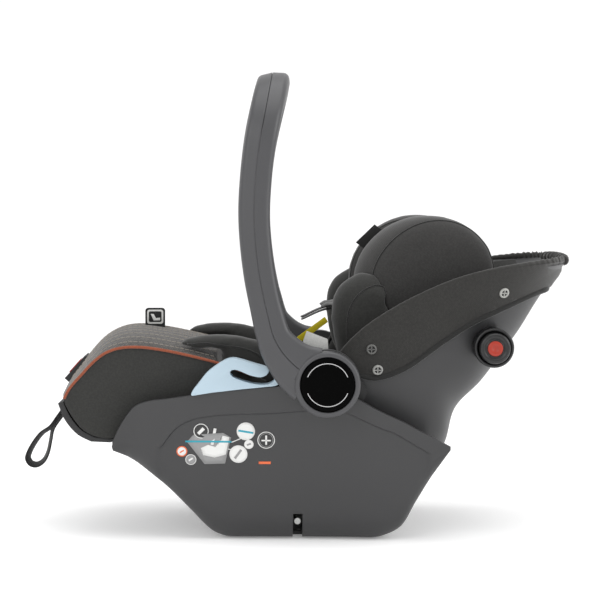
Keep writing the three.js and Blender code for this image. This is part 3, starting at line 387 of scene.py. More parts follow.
# ---------------------------------------------------------------- handle bearings
# Round bosses screwed to the rim of the base, of the same grained plastic, with steel axles.
HANDLE_AXIS = (0.0, 201.0)
HUB_RADIUS = 40
HUB_INNER = HALF_WIDTH + 9.4
HUB_OUTER = HUB_INNER + 23.4
ZINC = moulded("steel_zinc_plated", "#b9bab8", 0.35)
ZINC.node_tree.nodes["Principled BSDF"].inputs["Metallic"].default_value = 1.0
for part in ("handle_axle_left", "handle_axle_right", "recline_axle_left", "recline_axle_right",
             "anchor_bar"):
    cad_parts[part].data.materials.clear()
    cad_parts[part].data.materials.append(ZINC)
for part in ("pivot_boss_left", "pivot_boss_right"):
    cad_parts[part].data.materials.clear()
    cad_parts[part].data.materials.append(BASE_PP)
for part in ("seat_pan", "recline_arm_left", "recline_arm_right", "headrest_board"):
    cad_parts[part].data.materials.clear()
    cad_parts[part].data.materials.append(INNER_PP)

# ---------------------------------------------------------------- belt guides
# Light blue mouldings clipped over the rim. The vehicle's lap belt slips under their hook.
BELT_BLUE = moulded("acetal_light_blue", "#a9bcc8", 0.38, depth=0.04, speck=0.02)


def guide_outline():
    """The hook and the slot under it: rounded runs through given corners."""
    upper = spline([[-166.2, 186.5], [-164, 191], [-157, 200], [-146, 213.5], [-132, 224], [-122, 229.5],
                    [-114, 231], [-106, 229.5], [-88, 224], [-75, 220], [-70.5, 216.5], [-73, 211],
                    [-80, 207.8], [-92, 209.5], [-113, 217], [-118.5, 214.5], [-116, 209.2],
                    [-97, 201.6], [-82, 199], [-71, 199.5], [-65.5, 202.5]], 64)
    lower = spline([[-65.5, 202.5], [-62, 207], [-59, 207], [-57, 203], [-60, 198.5], [-66, 196.6]], 14)[1:]
    along_rim = [[-104, 193], [-142, 188.6], [-164.6, 184.9]]
    return np.vstack([upper, lower, along_rim])


for name, side in SIDES.items():
    guide = extruded(f"belt_guide_{name}_hook", guide_outline(), side * (HALF_WIDTH - 22),
                     side * (HALF_WIDTH + 2), BELT_BLUE, bevel=1.6, segments=3)
    fit(guide, "base", "guide_blue", f"belt_guide_{name}")

# ---------------------------------------------------------------- carrying handle
# Two half shells of grained polypropylene, screwed together along a raised parting ridge, run
# from hub to hub over the crossbar. The arms widen into the round hubs.
HANDLE_RISE = 369
HANDLE_CORNER = 80
ARM_THICKNESS = 22
ARM_MIDDLE = HUB_INNER + 11.7
HANDLE_LINE = np.array([[0, 0], [-39, .062], [-62, .139], [-73, .238], [-83, .374], [-88.5, .54],
                        [-86.5, .675], [-80.5, .81], [-71, .932], [-65, 1]])
ARM_HALF_WIDTHS = np.array([[0, 38.5], [20, 37], [34, 34], [60, 27], [90, 20.8], [130, 19.2], [220, 19.2],
                            [300, 19.4], [420, 20]])
HANDLE_PP = moulded("polypropylene_satin_charcoal", "#404042", 0.40, depth=0.07)
RIDGE = 1.1


def handle_path():
    """Middle, width and outward directions, half width and distance of each station of the handle.
    An arm follows the side view line; a quarter circle turns it into the level crossbar."""
    line = spline(HANDLE_LINE * [1, HANDLE_RISE], 400) + HANDLE_AXIS
    run = np.concatenate([[0], np.cumsum(np.linalg.norm(np.diff(line, axis=0), axis=1))])
    straight = run[-1] - HANDLE_CORNER
    arm = np.linspace(26, straight, 70)
    turn = np.linspace(0, np.pi / 2, 25)[1:]
    t = np.concatenate([arm, straight + HANDLE_CORNER * np.sin(turn)])
    y = np.concatenate([np.full(len(arm), ARM_MIDDLE),
                        ARM_MIDDLE - HANDLE_CORNER + HANDLE_CORNER * np.cos(turn)])
    angle = np.concatenate([np.zeros(len(arm)), turn])
    side = np.repeat([-1, 1], len(t))
    t, y, angle = (np.concatenate([a, a[::-1]]) for a in (t, y, angle))
    place = np.stack([np.interp(t, run, line[:, 0]), side * y, np.interp(t, run, line[:, 1])], -1)
    slope = np.gradient(line, run, axis=0)
    tx, tz = np.interp(t, run, slope[:, 0]), np.interp(t, run, slope[:, 1])
    ahead = np.stack([-side * np.cos(angle) * tx, np.sin(angle), -side * np.cos(angle) * tz], -1)
    ahead /= np.linalg.norm(ahead, axis=1, keepdims=True)
    blend = np.sin(angle)[:, None]
    width = np.stack([tz, 0 * tz, -tx], -1) * (1 - blend) + np.array([0.995, 0, 0.1]) * blend
    width -= ahead * np.sum(width * ahead, 1, keepdims=True)
    width /= np.linalg.norm(width, axis=1, keepdims=True)
    half = np.interp(t, ARM_HALF_WIDTHS[:, 0], ARM_HALF_WIDTHS[:, 1])
    return place, width, np.cross(ahead, width), half, t


def clear_round(grid, centre, radius):
    """Push the points nearer than radius to an axis along Y out to that radius, so that a round hole
    is left clear, and return the mask of the quads that are not wholly inside it."""
    away = grid[..., [0, 2]] - centre
    far = np.linalg.norm(away, axis=-1)
    inside = far < radius
    out_to = centre + away * (radius / np.maximum(far, 1e-3))[..., None]
    grid[..., [0, 2]] = np.where(inside[..., None], out_to, grid[..., [0, 2]])
    return ~(inside[:-1, :-1] & inside[1:, :-1] & inside[1:, 1:] & inside[:-1, 1:])


def handle_shell(name, way):
    """Half of the hollow handle. Its section runs from the ridge out to a rounded edge, back along
    the inner face, and returns inside at the wall's thickness. It stops on the hub rings."""
    place, width, outward, half, t = handle_path()
    round_r = 8.0
    thick = ARM_THICKNESS / 2 - 0.9 * (1 - step(30, 70, t))
    a = np.linspace(0, np.pi / 2, 8)
    h, k = half[:, None], thick[:, None]
    flat = np.linspace(0, 1, 6)[None, :-1]
    ridge_w, edge_w = 0.35, h - round_r
    face_w = ridge_w + (edge_w - ridge_w) * flat
    face_o = k + RIDGE * (1 - flat) - 0.6 * flat + 0 * h
    curl_w = edge_w + round_r * np.sin(a)
    curl_o = k - 0.6 - round_r + round_r * np.cos(a)
    outer_w = np.hstack([face_w, curl_w])
    outer_o = np.hstack([face_o, curl_o])
    skin_w = np.hstack([outer_w, outer_w[:, ::-1]])
    skin_o = np.hstack([outer_o, -outer_o[:, ::-1]])
    wall = 3.0
    inner_w = np.hstack([np.full_like(h, ridge_w), h - wall - 3, h - wall, h - wall, h - wall - 3,
                         np.full_like(h, ridge_w)])
    inner_o = np.hstack([-k + wall, -k + wall, -k + wall + 4, k - wall - 4, k - wall, k - wall])
    w, o = np.hstack([skin_w, inner_w]), np.hstack([skin_o, inner_o])
    grid = (place[:, None] + way * w[..., None] * width[:, None] + o[..., None] * outward[:, None])
    clear_round(grid, HANDLE_AXIS, HUB_RADIUS - 1.5)
    faces = grid_faces(*grid.shape[:2], wrap_cols=True).tolist()
    n, m = grid.shape[:2]
    faces += [list(range(m)), list(range((n - 1) * m, n * m))[::-1]]
    mesh = bpy.data.meshes.new(name)
    mesh.from_pydata((grid.reshape(-1, 3) * MM).tolist(), [], faces)
    mesh.materials.append(HANDLE_PP)
    piece = bpy.data.objects.new(name, mesh)
    bpy.context.scene.collection.objects.link(piece)
    weld(piece)
    mesh.polygons.foreach_set("use_smooth", np.full(len(mesh.polygons), True))
    soften(piece, 0.5, 2, 50)
    return piece


fit(handle_shell("handle_half_front", -1), "handle", "handle_grey", "handle_front_shell")
fit(handle_shell("handle_half_rear", 1), "handle", "handle_grey", "handle_rear_shell")

# ---------------------------------------------------------------- hubs and their buttons
# Each hub is a moulded ring round a gloss black ABS push button, with a thin printed ring on it.
BUTTON_RADIUS = 33
BLACK_ABS = moulded("abs_gloss_black", "#030303", 0.42, depth=0.0, speck=0.0)
BLACK_ABS.node_tree.nodes["Principled BSDF"].inputs["Specular IOR Level"].default_value = 0.03
INK = moulded("print_ink_light_grey", "#b4b4b4", 0.5, depth=0.0, speck=0.0)


def ring_arc(name, radius, width, start, end, y, side, x, z, material, lift=0.25):
    """A flat arc of print: a ring's sector between two angles, standing lift proud of y."""
    a = np.radians(np.linspace(start, end, max(6, int(abs(end - start) / 4))))[:, None]
    r = radius + np.array([[-0.5, -0.5, 0.5, 0.5]]) * width
    yy = side * (y + np.array([[0, lift, lift, 0]]))
    grid = np.stack([x + r * np.cos(a), yy + 0 * a, z + r * np.sin(a)], -1)
    n, m = grid.shape[:2]
    faces = grid_faces(n, m, wrap_cols=True).tolist()
    faces += [list(range(m)), list(range((n - 1) * m, n * m))[::-1]]
    piece = mesh_piece(name, grid.reshape(-1, 3), np.array(faces), material, smooth=False)
    weld(piece)
    return piece


for name, side in SIDES.items():
    x, z = HANDLE_AXIS
    top = HUB_OUTER + 0.6
    a = np.linspace(0, np.pi / 2, 7)
    lip = [[HUB_RADIUS - 4 + 4 * np.cos(b), side * (top - 4 + 4 * np.sin(b))] for b in a]
    hub = turned(f"handle_hub_{name}_ring",
                 [[12.4, side * HUB_INNER], [HUB_RADIUS, side * HUB_INNER], *lip,
                  [BUTTON_RADIUS + 1.6, side * top], [BUTTON_RADIUS + 0.5, side * (top - 1)],
                  [BUTTON_RADIUS + 0.5, side * (HUB_OUTER - 11)], [12.4, side * (HUB_OUTER - 11)],
                  [12.4, side * HUB_INNER]], x, z, HANDLE_PP, 96)
    fit(hub, "handle", "handle_grey", f"handle_hub_{name}")
    dome = [[BUTTON_RADIUS * s, side * (HUB_OUTER + 1.5 - 0.9 * s ** 3)] for s in np.linspace(0.94, 0, 9)]
    button = turned(f"handle_button_{name}_cap",
                    [[0, side * (HUB_OUTER - 3)], [BUTTON_RADIUS, side * (HUB_OUTER - 3)],
                     [BUTTON_RADIUS, side * (HUB_OUTER - 0.8)], [BUTTON_RADIUS - 0.6, side * HUB_OUTER],
                     *dome], x, z, BLACK_ABS, 96)
    fit(button, f"handle_button_{name}", "black_gloss", f"handle_button_{name}")
    for i, (start, end) in enumerate(((22, 158), (202, 338))):
        arc = ring_arc(f"handle_button_{name}_print_{i + 1}", 26, 0.9, start, end,
                       HUB_OUTER + 0.85, side, x, z, INK)
        fit(arc, f"handle_button_{name}", "black_gloss")

# ---------------------------------------------------------------- backrest bucket
# The reclining bucket is one moulding of the base's plastic, wide at its rim, with its back
# bellied round the recline axis so that it turns inside the base.
RECLINE_AXIS = (-29.0, 189.0)
BELLY_RADIUS = 198
BUCKET_TOP = HALF_WIDTH - 8


def belly(degrees):
    """A point of the belly's arc, measured from the horizontal at the recline axis."""
    a = np.radians(degrees)
    return [RECLINE_AXIS[0] + BELLY_RADIUS * np.cos(a), RECLINE_AXIS[1] + BELLY_RADIUS * np.sin(a)]


BUCKET_PROFILE = np.array([  # floor x, z, rim x, z, drawn in at the rim and at the floor
    [62, 52, 8, 212, 14, 64], [*belly(-46.5), 22, 236, 8, 60], [*belly(-35), 48, 262, 4, 52],
    [*belly(-22), 80, 284, 1, 48], [*belly(-9), 115, 303, 0, 46], [201, 195, 157, 321, 0, 46],
    [243, 254, 201, 333, 3, 50], [267, 295, 243, 339, 13, 62], [286, 321, 278, 342, 32, 84],
    [297, 331, 295, 343, 58, 106], [305, 336, 304, 343, 92, 138],
], float)


def bucket_surface(grow, shares, rows, raise_rim=0.0):
    """The bucket's skin pushed out by grow. shares are places along its length, rows the wall's
    rows as shares of its height from the rim (1) down. Gives points and the side view heights."""
    fine = spline(BUCKET_PROFILE, at=shares)
    floor_p, rim_p = fine[:, 0:2], fine[:, 2:4]
    up = rim_p - floor_p
    depth = np.linalg.norm(up, axis=1)
    up /= depth[:, None]
    along = np.gradient(floor_p, axis=0)
    along /= np.linalg.norm(along, axis=1, keepdims=True)
    square = np.maximum(0.4, np.abs(along[:, 0] * up[:, 1] - along[:, 1] * up[:, 0]))
    bottom = BUCKET_TOP - fine[:, 5] + grow
    slope = ((BUCKET_TOP - fine[:, 4]) - (BUCKET_TOP - fine[:, 5])) / depth
    height = depth + raise_rim
    top = bottom + slope * depth + np.minimum(slope, 0.5) * raise_rim
    corner = np.minimum(70, np.minimum(depth * 0.6, bottom * 0.6))
    wall = corner[:, None] + (height - corner)[:, None] * np.asarray(rows)
    y, h = tub_section(bottom, top, corner, height, wall, 14, 10)
    h = h - (grow / square)[:, None] * step(1, 0, h / np.maximum(corner, 1)[:, None])
    xz = floor_p[:, None] + up[:, None] * h[..., None]
    return mirrored(np.stack([xz[..., 0], y, xz[..., 1]], -1))


# The pods' round holes are moulded in.
POD = (205.0, 243.0)
POD_RADIUS = 19
bucket_grid = bucket_surface(0, np.linspace(0, 1, 120), np.linspace(1, 0, 26))
bucket = grid_piece("bucket_shell", bucket_grid, BASE_PP, keep=clear_round(bucket_grid, POD, POD_RADIUS + 2))
thicken(bucket, WALL, bevel=0.8)
fit(bucket, "backrest", "shell_grey", "backrest_shell")


# ---------------------------------------------------------------- fabrics
# Woven polyester on the cover, brushed polyester on the cushions, a heathered knit on the leg
# rest's top, and webbing. All read the piece's place, so threads keep their size over a piece.


def woven(name, hex_code, thread, depth=0.35, mottle=0.10, roughness=0.85, fleck=None):
    """Cloth: two crossing sets of threads as bump, a mottled tone, and a soft sheen at grazing
    angles. thread is the drawn thread spacing in metres, coarser than the real one so it shows."""
    made, tree, out = new_material(name)
    where = add_node(tree, "ShaderNodeTexCoord").outputs["Object"]
    turn = add_node(tree, "ShaderNodeMapping", {"Rotation": (0, 0.7, 0)}, {"Vector": where})
    size = 1 / (thread * 6.2832) * 2
    warp = add_node(tree, "ShaderNodeTexWave", {"wave_type": "BANDS", "bands_direction": "X",
                                                "Scale": size, "Distortion": 0.6, "Detail": 1.0},
                    {"Vector": turn.outputs[0]})
    weft = add_node(tree, "ShaderNodeTexWave", {"wave_type": "BANDS", "bands_direction": "Z",
                                                "Scale": size, "Distortion": 0.6, "Detail": 1.0},
                    {"Vector": turn.outputs[0]})
    cross = add_node(tree, "ShaderNodeMath", {"operation": "MAXIMUM"})
    tree.links.new(warp.outputs["Fac"], cross.inputs[0])
    tree.links.new(weft.outputs["Fac"], cross.inputs[1])
    cloud = add_node(tree, "ShaderNodeTexNoise", {"Scale": 26.0, "Detail": 5.0, "Roughness": 0.65},
                     {"Vector": where})
    fine = add_node(tree, "ShaderNodeTexNoise", {"Scale": 1 / (thread * 1.6), "Detail": 2.0},
                    {"Vector": where})
    base = np.array(linear(hex_code))
    light = np.array(linear(fleck)) if fleck else base * (1 + 2.2 * mottle)
    spot = add_node(tree, "ShaderNodeMapRange", {"From Min": 0.38, "From Max": 0.66},
                    {"Value": fine.outputs[0]})
    tone = add_node(tree, "ShaderNodeMix", {"data_type": "RGBA"}, {"Factor": spot.outputs[0]})
    tone.inputs["A"].default_value = (*(base[:3] * (1 - mottle)), 1)
    tone.inputs["B"].default_value = (*light[:3], 1)
    cast = add_node(tree, "ShaderNodeMix", {"data_type": "RGBA", "blend_type": "MULTIPLY"},
                    {"Factor": cloud.outputs[0], "A": tone.outputs["Result"]})
    cast.inputs["A"].default_value = (1, 1, 1, 1)
    tree.links.new(tone.outputs["Result"], cast.inputs["A"])
    cast.inputs["B"].default_value = (0.72, 0.72, 0.72, 1)
    bump = add_node(tree, "ShaderNodeBump", {"Strength": depth, "Distance": 0.0006},
                    {"Height": cross.outputs[0]})
    shade = add_node(tree, "ShaderNodeBsdfPrincipled",
                     {"Roughness": roughness, "IOR": 1.45, "Sheen Weight": 0.25,
                      "Sheen Roughness": 0.45},
                     {"Base Color": cast.outputs["Result"], "Normal": bump.outputs[0]})
    tree.links.new(shade.outputs[0], out.inputs[0])
    return made


COVER_CLOTH = woven("polyester_woven_olive_black", "#272624", 0.0016)
BINDING = woven("polyester_binding_black", "#1b1b1a", 0.0012)
CUSHION_CLOTH = woven("polyester_brushed_charcoal", "#262624", 0.0014, depth=0.25)
WING_CLOTH = woven("polyester_brushed_grey_brown", "#2b2a29", 0.0014, depth=0.25)
KNIT = woven("knit_heathered_grey_brown", "#25221f", 0.0022, depth=0.6, mottle=0.3, fleck="#4b4640")
SIDE_CLOTH = woven("polyester_woven_charcoal", "#2a2a28", 0.0014, depth=0.25)
WEBBING = woven("polyester_webbing_black", "#1c1c1c", 0.0018, depth=0.6)
PIPING = woven("piping_terracotta", "#8f4a31", 0.0012, depth=0.3)
THREAD = moulded("thread_light_grey", "#9a938a", 0.7, depth=0.0, speck=0.1)


def tube(name, path, radius, material, sides=10, closed=False, flat=1.0, out_dir=None):
    """A round or flattened cord along a path: at each place the frame is the tangent, an outward
    direction square to it, and their cross product; the section is an ellipse in the last two."""
    path = np.asarray(path, float)
    ahead = np.gradient(path, axis=0)
    if closed:
        ahead = (np.roll(path, -1, 0) - np.roll(path, 1, 0))
    ahead /= np.linalg.norm(ahead, axis=1, keepdims=True)
    guide = np.array([0.0, 1.0, 0.0]) if out_dir is None else np.asarray(out_dir, float)
    guide = np.broadcast_to(guide, path.shape)
    first = guide - ahead * np.sum(guide * ahead, 1, keepdims=True)
    first /= np.linalg.norm(first, axis=1, keepdims=True)
    second = np.cross(ahead, first)
    a = np.linspace(0, 2 * np.pi, sides, endpoint=False)[None, :, None]
    grid = path[:, None] + radius * (flat * np.cos(a) * first[:, None] + np.sin(a) * second[:, None])
    n = len(path)
    faces = grid_faces(n, sides, wrap_rows=closed, wrap_cols=True).tolist()
    if not closed:
        faces += [list(range(sides)), list(range((n - 1) * sides, n * sides))[::-1]]
    mesh = bpy.data.meshes.new(name)
    mesh.from_pydata((grid.reshape(-1, 3) * MM).tolist(), [], faces)
    mesh.materials.append(material)
    mesh.polygons.foreach_set("use_smooth", np.full(len(mesh.polygons), True))
    piece = bpy.data.objects.new(name, mesh)
    bpy.context.scene.collection.objects.link(piece)
    weld(piece)
    return piece


def dashes(name, lines, normals, material, length=4.2, gap=2.4, width=0.9, height=0.7):
    """Running stitches: short flat blocks laid along each line, lifted along its normals."""
    points, faces = [], []
    for line, normal in zip(lines, normals):
        run = np.concatenate([[0], np.cumsum(np.linalg.norm(np.diff(line, axis=0), axis=1))])
        starts = np.arange(1.0, run[-1] - length, length + gap)
        at = lambda s, rows: np.stack([np.interp(s, run, col) for col in rows.T], -1)
        a, b = at(starts, line), at(starts + length, line)
        n = at(starts + length / 2, normal)
        n /= np.linalg.norm(n, axis=1, keepdims=True)
        across = np.cross(b - a, n)
        across /= np.linalg.norm(across, axis=1, keepdims=True)
        corner = [p + sign * width / 2 * across + lift * n
                  for lift in (-0.5, height) for p, sign in ((a, -1), (b, -1), (b, 1), (a, 1))]
        blocks = np.stack(corner, 1)
        quads = np.array([[0, 3, 2, 1], [4, 5, 6, 7], [0, 1, 5, 4], [1, 2, 6, 5], [2, 3, 7, 6], [3, 0, 4, 7]])
        base_index = sum(len(p) for p in points) + 8 * np.arange(len(blocks))
        faces.append((quads[None] + base_index[:, None, None]).reshape(-1, 4))
        points.append(blocks.reshape(-1, 3))
    return mesh_piece(name, np.vstack(points), np.vstack(faces), material, smooth=False)


# ---------------------------------------------------------------- backrest cover
# A fitted cover of woven polyester. Its gathered elastic edge rolls in over the bucket's rim, and
# its hem, bound with black tape, runs down both sides and across the back.
COVER_OFF = 4.4
HEM = np.array([[28, 213], [46, 207], [62, 205], [95, 216], [144, 250], [180, 273], [217, 290],
                [268, 310], [340, 324]], float)


def cover_surface():
    """The bucket's skin pushed out, from the rolled edge down to the hem. Places below the hem are
    pulled up onto it, and ripples of the elastic fade out below the edge."""
    shares = np.linspace(0.03, 1, 210)
    rows = np.linspace(1, 0, 34)
    grid = bucket_surface(COVER_OFF, shares, rows, raise_rim=COVER_OFF)
    half = grid[:, ::-1][:, :(grid.shape[1] + 1) // 2]
    n, m = half.shape[:2]
    hem_z = np.interp(half[..., 0], *spline(HEM, 200).T)
    over = half[..., 2] - hem_z
    below = over < 0
    first_below = np.where(below.any(1), below.argmax(1), m)
    station = np.arange(n)
    k = np.clip(first_below, 1, m - 1)
    o0, o1 = over[station, k - 1], over[station, k]
    t = np.clip(o0 / np.where(o0 - o1 == 0, 1, o0 - o1), 0, 1)[:, None]
    hem_point = half[station, k - 1] * (1 - t) + half[station, k] * t
    column = np.arange(m)[None]
    pulled = (column >= first_below[:, None]) & (first_below < m)[:, None]
    half = np.where(pulled[..., None], hem_point[:, None], half)
    # puff between edge and hem, and the elastic's gathers near the edge
    drop = np.linalg.norm(half - half[:, :1], axis=2)
    reach = np.linalg.norm(hem_point - half[:, 0], axis=1)[:, None]
    puff = 2.4 * np.sin(np.pi * np.clip(drop / np.maximum(reach, 20), 0, 1)) * (1 - pulled)
    run = np.linspace(0, 1, n)[:, None]
    gather = (np.sin(run * 300) + 0.6 * np.sin(run * 487 + 1.3) + 0.5 * np.sin(run * 131 + 0.4))
    fade = step(16, 2, drop) * (0.12 + 1.1 * step(0.7, 0.95, run))
    puff = puff + 0.7 * gather * fade
    puff += 0.8 * np.sin(drop / 11 + 9 * run) * step(0.5, 0.0, run) * np.sin(np.pi * np.clip(drop / 40, 0, 1))
    half = half + puff[..., None] * np.array([0, 1, 0])
    # the rolled edge
    up = half[:, 0] - half[:, 3]
    up[:, 1] = 0
    up /= np.linalg.norm(up, axis=1, keepdims=True)
    size = 2.6 + 3.4 * step(0.55, 0.9, run) + 0.9 * gather * (0.1 + 0.9 * step(0.7, 0.95, run))
    a = np.linspace(np.pi * 1.15, 0.15, 9)[None, :, None]
    roll = (half[:, :1] + np.array([0, -1, 0]) * size[..., None] * (1 - np.cos(a))
            + up[:, None] * size[..., None] * np.sin(a))
    half = np.concatenate([roll, half], 1)
    pulled = np.concatenate([np.zeros((n, 9), bool), pulled], 1)
    whole = mirrored(half)
    flags = np.concatenate([pulled, pulled[:, -2::-1]], 1)
    last = whole[-1]
    middle = last.mean(0)
    closing = np.array([0.9, 0.66, 0.33, 0.0])[:, None, None]
    cap = middle + (last - middle) * closing + np.array([3.5, 0, 0]) * (1 - closing ** 2)
    whole = np.concatenate([whole, cap])
    flags = np.concatenate([flags, np.zeros((len(cap), flags.shape[1]), bool)])
    dead = (flags[:-1, :-1] & flags[1:, 1:] & flags[:-1, 1:] & flags[1:, :-1])
    return whole, ~dead, hem_point, first_below < m


cover_grid, cover_keep, hem_points, hem_open = cover_surface()
cover = grid_piece("backrest_cover_cloth", cover_grid, COVER_CLOTH, keep=cover_keep)
thicken(cover, 1.6)
fit(cover, "backrest", "cover_fabric", "backrest_cover")
hem_left = hem_points[hem_open] * np.array([1, -1, 1]) + np.array([0, -0.4, 0])
hem_right = hem_points[hem_open][::-1] + np.array([0, 0.4, 0])
hem_picks = np.vstack([hem_left[::8], hem_right[::8]])
far_apart = np.linalg.norm(np.diff(hem_picks, axis=0), axis=1) > 3
hem_path = spline(hem_picks[np.concatenate([[True], far_apart])], 320)
hem = tube("backrest_cover_binding", hem_path, 3.6, BINDING, 12, flat=0.62)
fit(hem, "backrest", "cover_fabric")

# The gathered roll goes on round the head end, and the cover's lining fills the bucket.
across = np.linspace(-1, 1, 150)
head_roll = np.stack([303.5 + 3.5 * (1 - across ** 2), across * 82, 347.5 + 1.5 * (1 - across ** 2)], -1)
ripple = 6.2 + 0.9 * np.sin(across * 46) + 0.6 * np.sin(across * 71 + 1)
fit(tube("backrest_cover_head_roll", head_roll, ripple[:, None, None], COVER_CLOTH, 14), "backrest",
    "cover_fabric")
lining_grid = bucket_surface(-WALL - 1.0, np.linspace(0.03, 0.93, 90), np.linspace(1, 0, 18))
lining_keep = clear_round(lining_grid, POD, POD_RADIUS + 2)
lining = grid_piece("backrest_lining_cloth", lining_grid, CUSHION_CLOTH, keep=lining_keep)
thicken(lining, 1.6)
fit(lining, "backrest", "cover_fabric")

# ---------------------------------------------------------------- snap fasteners
# Acetal snap fasteners hold the cover's sides: a raised ring with a cross of ribs in it. The snaps are alike,
# but each is given its own grey, which is painted light and shade for where it sits.
# each snap's place, and its grey with painted light and shade for that place
SNAPS_WITH_PAINTED_LIGHT = ((219, 310, "#9c9c98"), (55, 240, "#565654"), (62, 216, "#8f8f8c"))
SNAP_RADIUS = 6.6
SNAP_RING = [[0, 0.6], [4.0, 0.6], [4.3, 1.9], [5.0, 2.3], [SNAP_RADIUS - 0.4, 1.8], [SNAP_RADIUS, 0.6],
             [SNAP_RADIUS, -1.5], [0, -1.5]]
SNAP_FLOOR = [[0, 0.9], [4.1, 0.9], [4.1, 0.3], [0, 0.3]]


def snap_mesh(name, middle, normal, material, profile):
    """A (radius, height) profile turned about the surface's normal, and the frame it lies in."""
    normal = normal / np.linalg.norm(normal)
    first = np.cross(normal, [0, 0, 1.0])
    first /= np.linalg.norm(first)
    second = np.cross(normal, first)
    profile = np.asarray(profile, float)
    a = np.linspace(0, 2 * np.pi, 28, endpoint=False)[:, None, None]
    r, h = profile[None, :, 0, None], profile[None, :, 1, None]
    grid = middle + r * (np.cos(a) * first + np.sin(a) * second) + h * normal
    ring = grid_piece(name, grid, material, wrap_rows=True)
    weld(ring)
    return ring, first, second, normal


for name, side in SIDES.items():
    for i, (x, z, hex_code) in enumerate(SNAPS_WITH_PAINTED_LIGHT):
        # one material per snap, its grey lighter or darker with painted light and shade
        metal = bpy.data.materials.get(f"acetal_snap_painted_light_{i + 1}") or moulded(
            f"acetal_snap_painted_light_{i + 1}", hex_code, 0.3, depth=0.0, speck=0.02)
        body = cover_grid[:, :cover_grid.shape[1] // 2]
        row, col = np.unravel_index(np.argmin(np.hypot(body[..., 0] - x, body[..., 2] - z)), body.shape[:2])
        near = body[row, col]
        n = np.cross(body[row + 2, col] - body[row - 2, col], body[row, col + 2] - body[row, col - 2])
        n = n * np.sign(-n[1])
        flip_y = np.array([1, -side, 1])
        snap, e1, e2, n = snap_mesh(f"snap_{name}_{i + 1}_ring", near * flip_y, n * flip_y, metal, SNAP_RING)
        fit(snap, "backrest", "snap_grey", f"snap_{name}_{i + 1}")
        pit = snap_mesh(f"snap_{name}_{i + 1}_floor", near * flip_y, n, INNER_PP, SNAP_FLOOR)[0]
        fit(pit, "backrest", "snap_grey")
        for k, (u_dir, w_dir) in enumerate(((e1, e2), (e2, e1))):
            c = near * flip_y + n * 0.9
            rib = [c + su * 4.2 * u_dir + sw * 0.6 * w_dir + sn * n
                   for sn in (-0.4, 0.75) for su, sw in ((-1, -1), (1, -1), (1, 1), (-1, 1))]
            quads = [(0, 3, 2, 1), (4, 5, 6, 7), (0, 1, 5, 4), (1, 2, 6, 5), (2, 3, 7, 6), (3, 0, 4, 7)]
            bar = mesh_piece(f"snap_{name}_{i + 1}_rib_{k + 1}", rib, quads, metal, smooth=False)
            weld(bar)
            fit(bar, "backrest", "snap_grey")

# ---------------------------------------------------------------- side impact pods
# A black moulded piston slides in a socket in the bucket's side; its face carries an orange cap.
POD_FACE = BUCKET_TOP + 14
ORANGE = moulded("abs_orange", "#96240d", 0.35, depth=0.0, speck=0.02)
POD_BLACK = moulded("abs_satin_black", "#131314", 0.32, depth=0.0, speck=0.0)
for name, side in SIDES.items():
    x, z = POD
    face = POD_FACE
    a = np.linspace(0, np.pi / 2, 6)
    lip = [[POD_RADIUS - 3.5 + 3.5 * np.cos(b), side * (face - 3.5 + 3.5 * np.sin(b))] for b in a]
    pod = turned(f"impact_pod_{name}_piston",
                 [[0, side * (BUCKET_TOP - 32)], [POD_RADIUS, side * (BUCKET_TOP - 32)], *lip,
                  [13.4, side * face], [12.6, side * (face - 1.6)], [11.2, side * (face - 1.6)],
                  [10.6, side * (face - 0.4)], [9.6, side * (face - 0.4)], [9.6, side * (face - 2.4)],
                  [0, side * (face - 2.4)]], x, z, POD_BLACK, 64)
    fit(pod, f"impact_pod_{name}", "black_gloss", f"impact_pod_{name}")
    cap = turned(f"pod_cap_{name}_disc",
                 [[0, side * (face - 2.3)], [9.3, side * (face - 2.3)], [9.3, side * (face - 0.1)],
                  [8.8, side * (face + 0.4)], [3.4, side * (face + 0.5)], [3.0, side * (face - 0.2)],
                  [0, side * (face - 0.2)]], x, z, ORANGE, 56)
    fit(cap, f"impact_pod_{name}", "pod_orange", f"pod_cap_{name}")
    socket = turned(f"pod_socket_{name}_collar",
                    [[POD_RADIUS + 0.5, side * (BUCKET_TOP - 34)], [23.4, side * (BUCKET_TOP - 34)],
                     [24.4, side * (BUCKET_TOP + 1)], [23.2, side * (BUCKET_TOP + 2.6)],
                     [20.6, side * (BUCKET_TOP + 2.6)], [POD_RADIUS + 0.5, side * (BUCKET_TOP - 2)],
                     [POD_RADIUS + 0.5, side * (BUCKET_TOP - 34)]], x, z, POD_BLACK, 64)
    fit(socket, "backrest", "black_plastic", f"pod_socket_{name}")

# ---------------------------------------------------------------- leg rest
# A foam pad on a moulded tray that runs out on its track: a heathered knit top with rows of
# stitching, plain side panels, and terracotta piping where they meet.
TRACK_CENTRE = (-209.0, -64.0)
TRACK_RADIUS = 196
LEGREST_HALF = HALF_WIDTH - 38
LEGREST_CROWN = 20
LEGREST_NOSE = 11
LEGREST_TOP = np.array([[-325, 177], [-318, 190], [-303, 207], [-289, 222], [-274, 233.5], [-255, 240],
                        [-231, 241], [-200, 237], [-163, 229], [-136, 222]], float)


def on_track(x, off):
    """Height of the curved track at x, moved out by off: a circle about the track's centre."""
    return TRACK_CENTRE[1] + np.sqrt((TRACK_RADIUS + off) ** 2 - (x - TRACK_CENTRE[0]) ** 2)


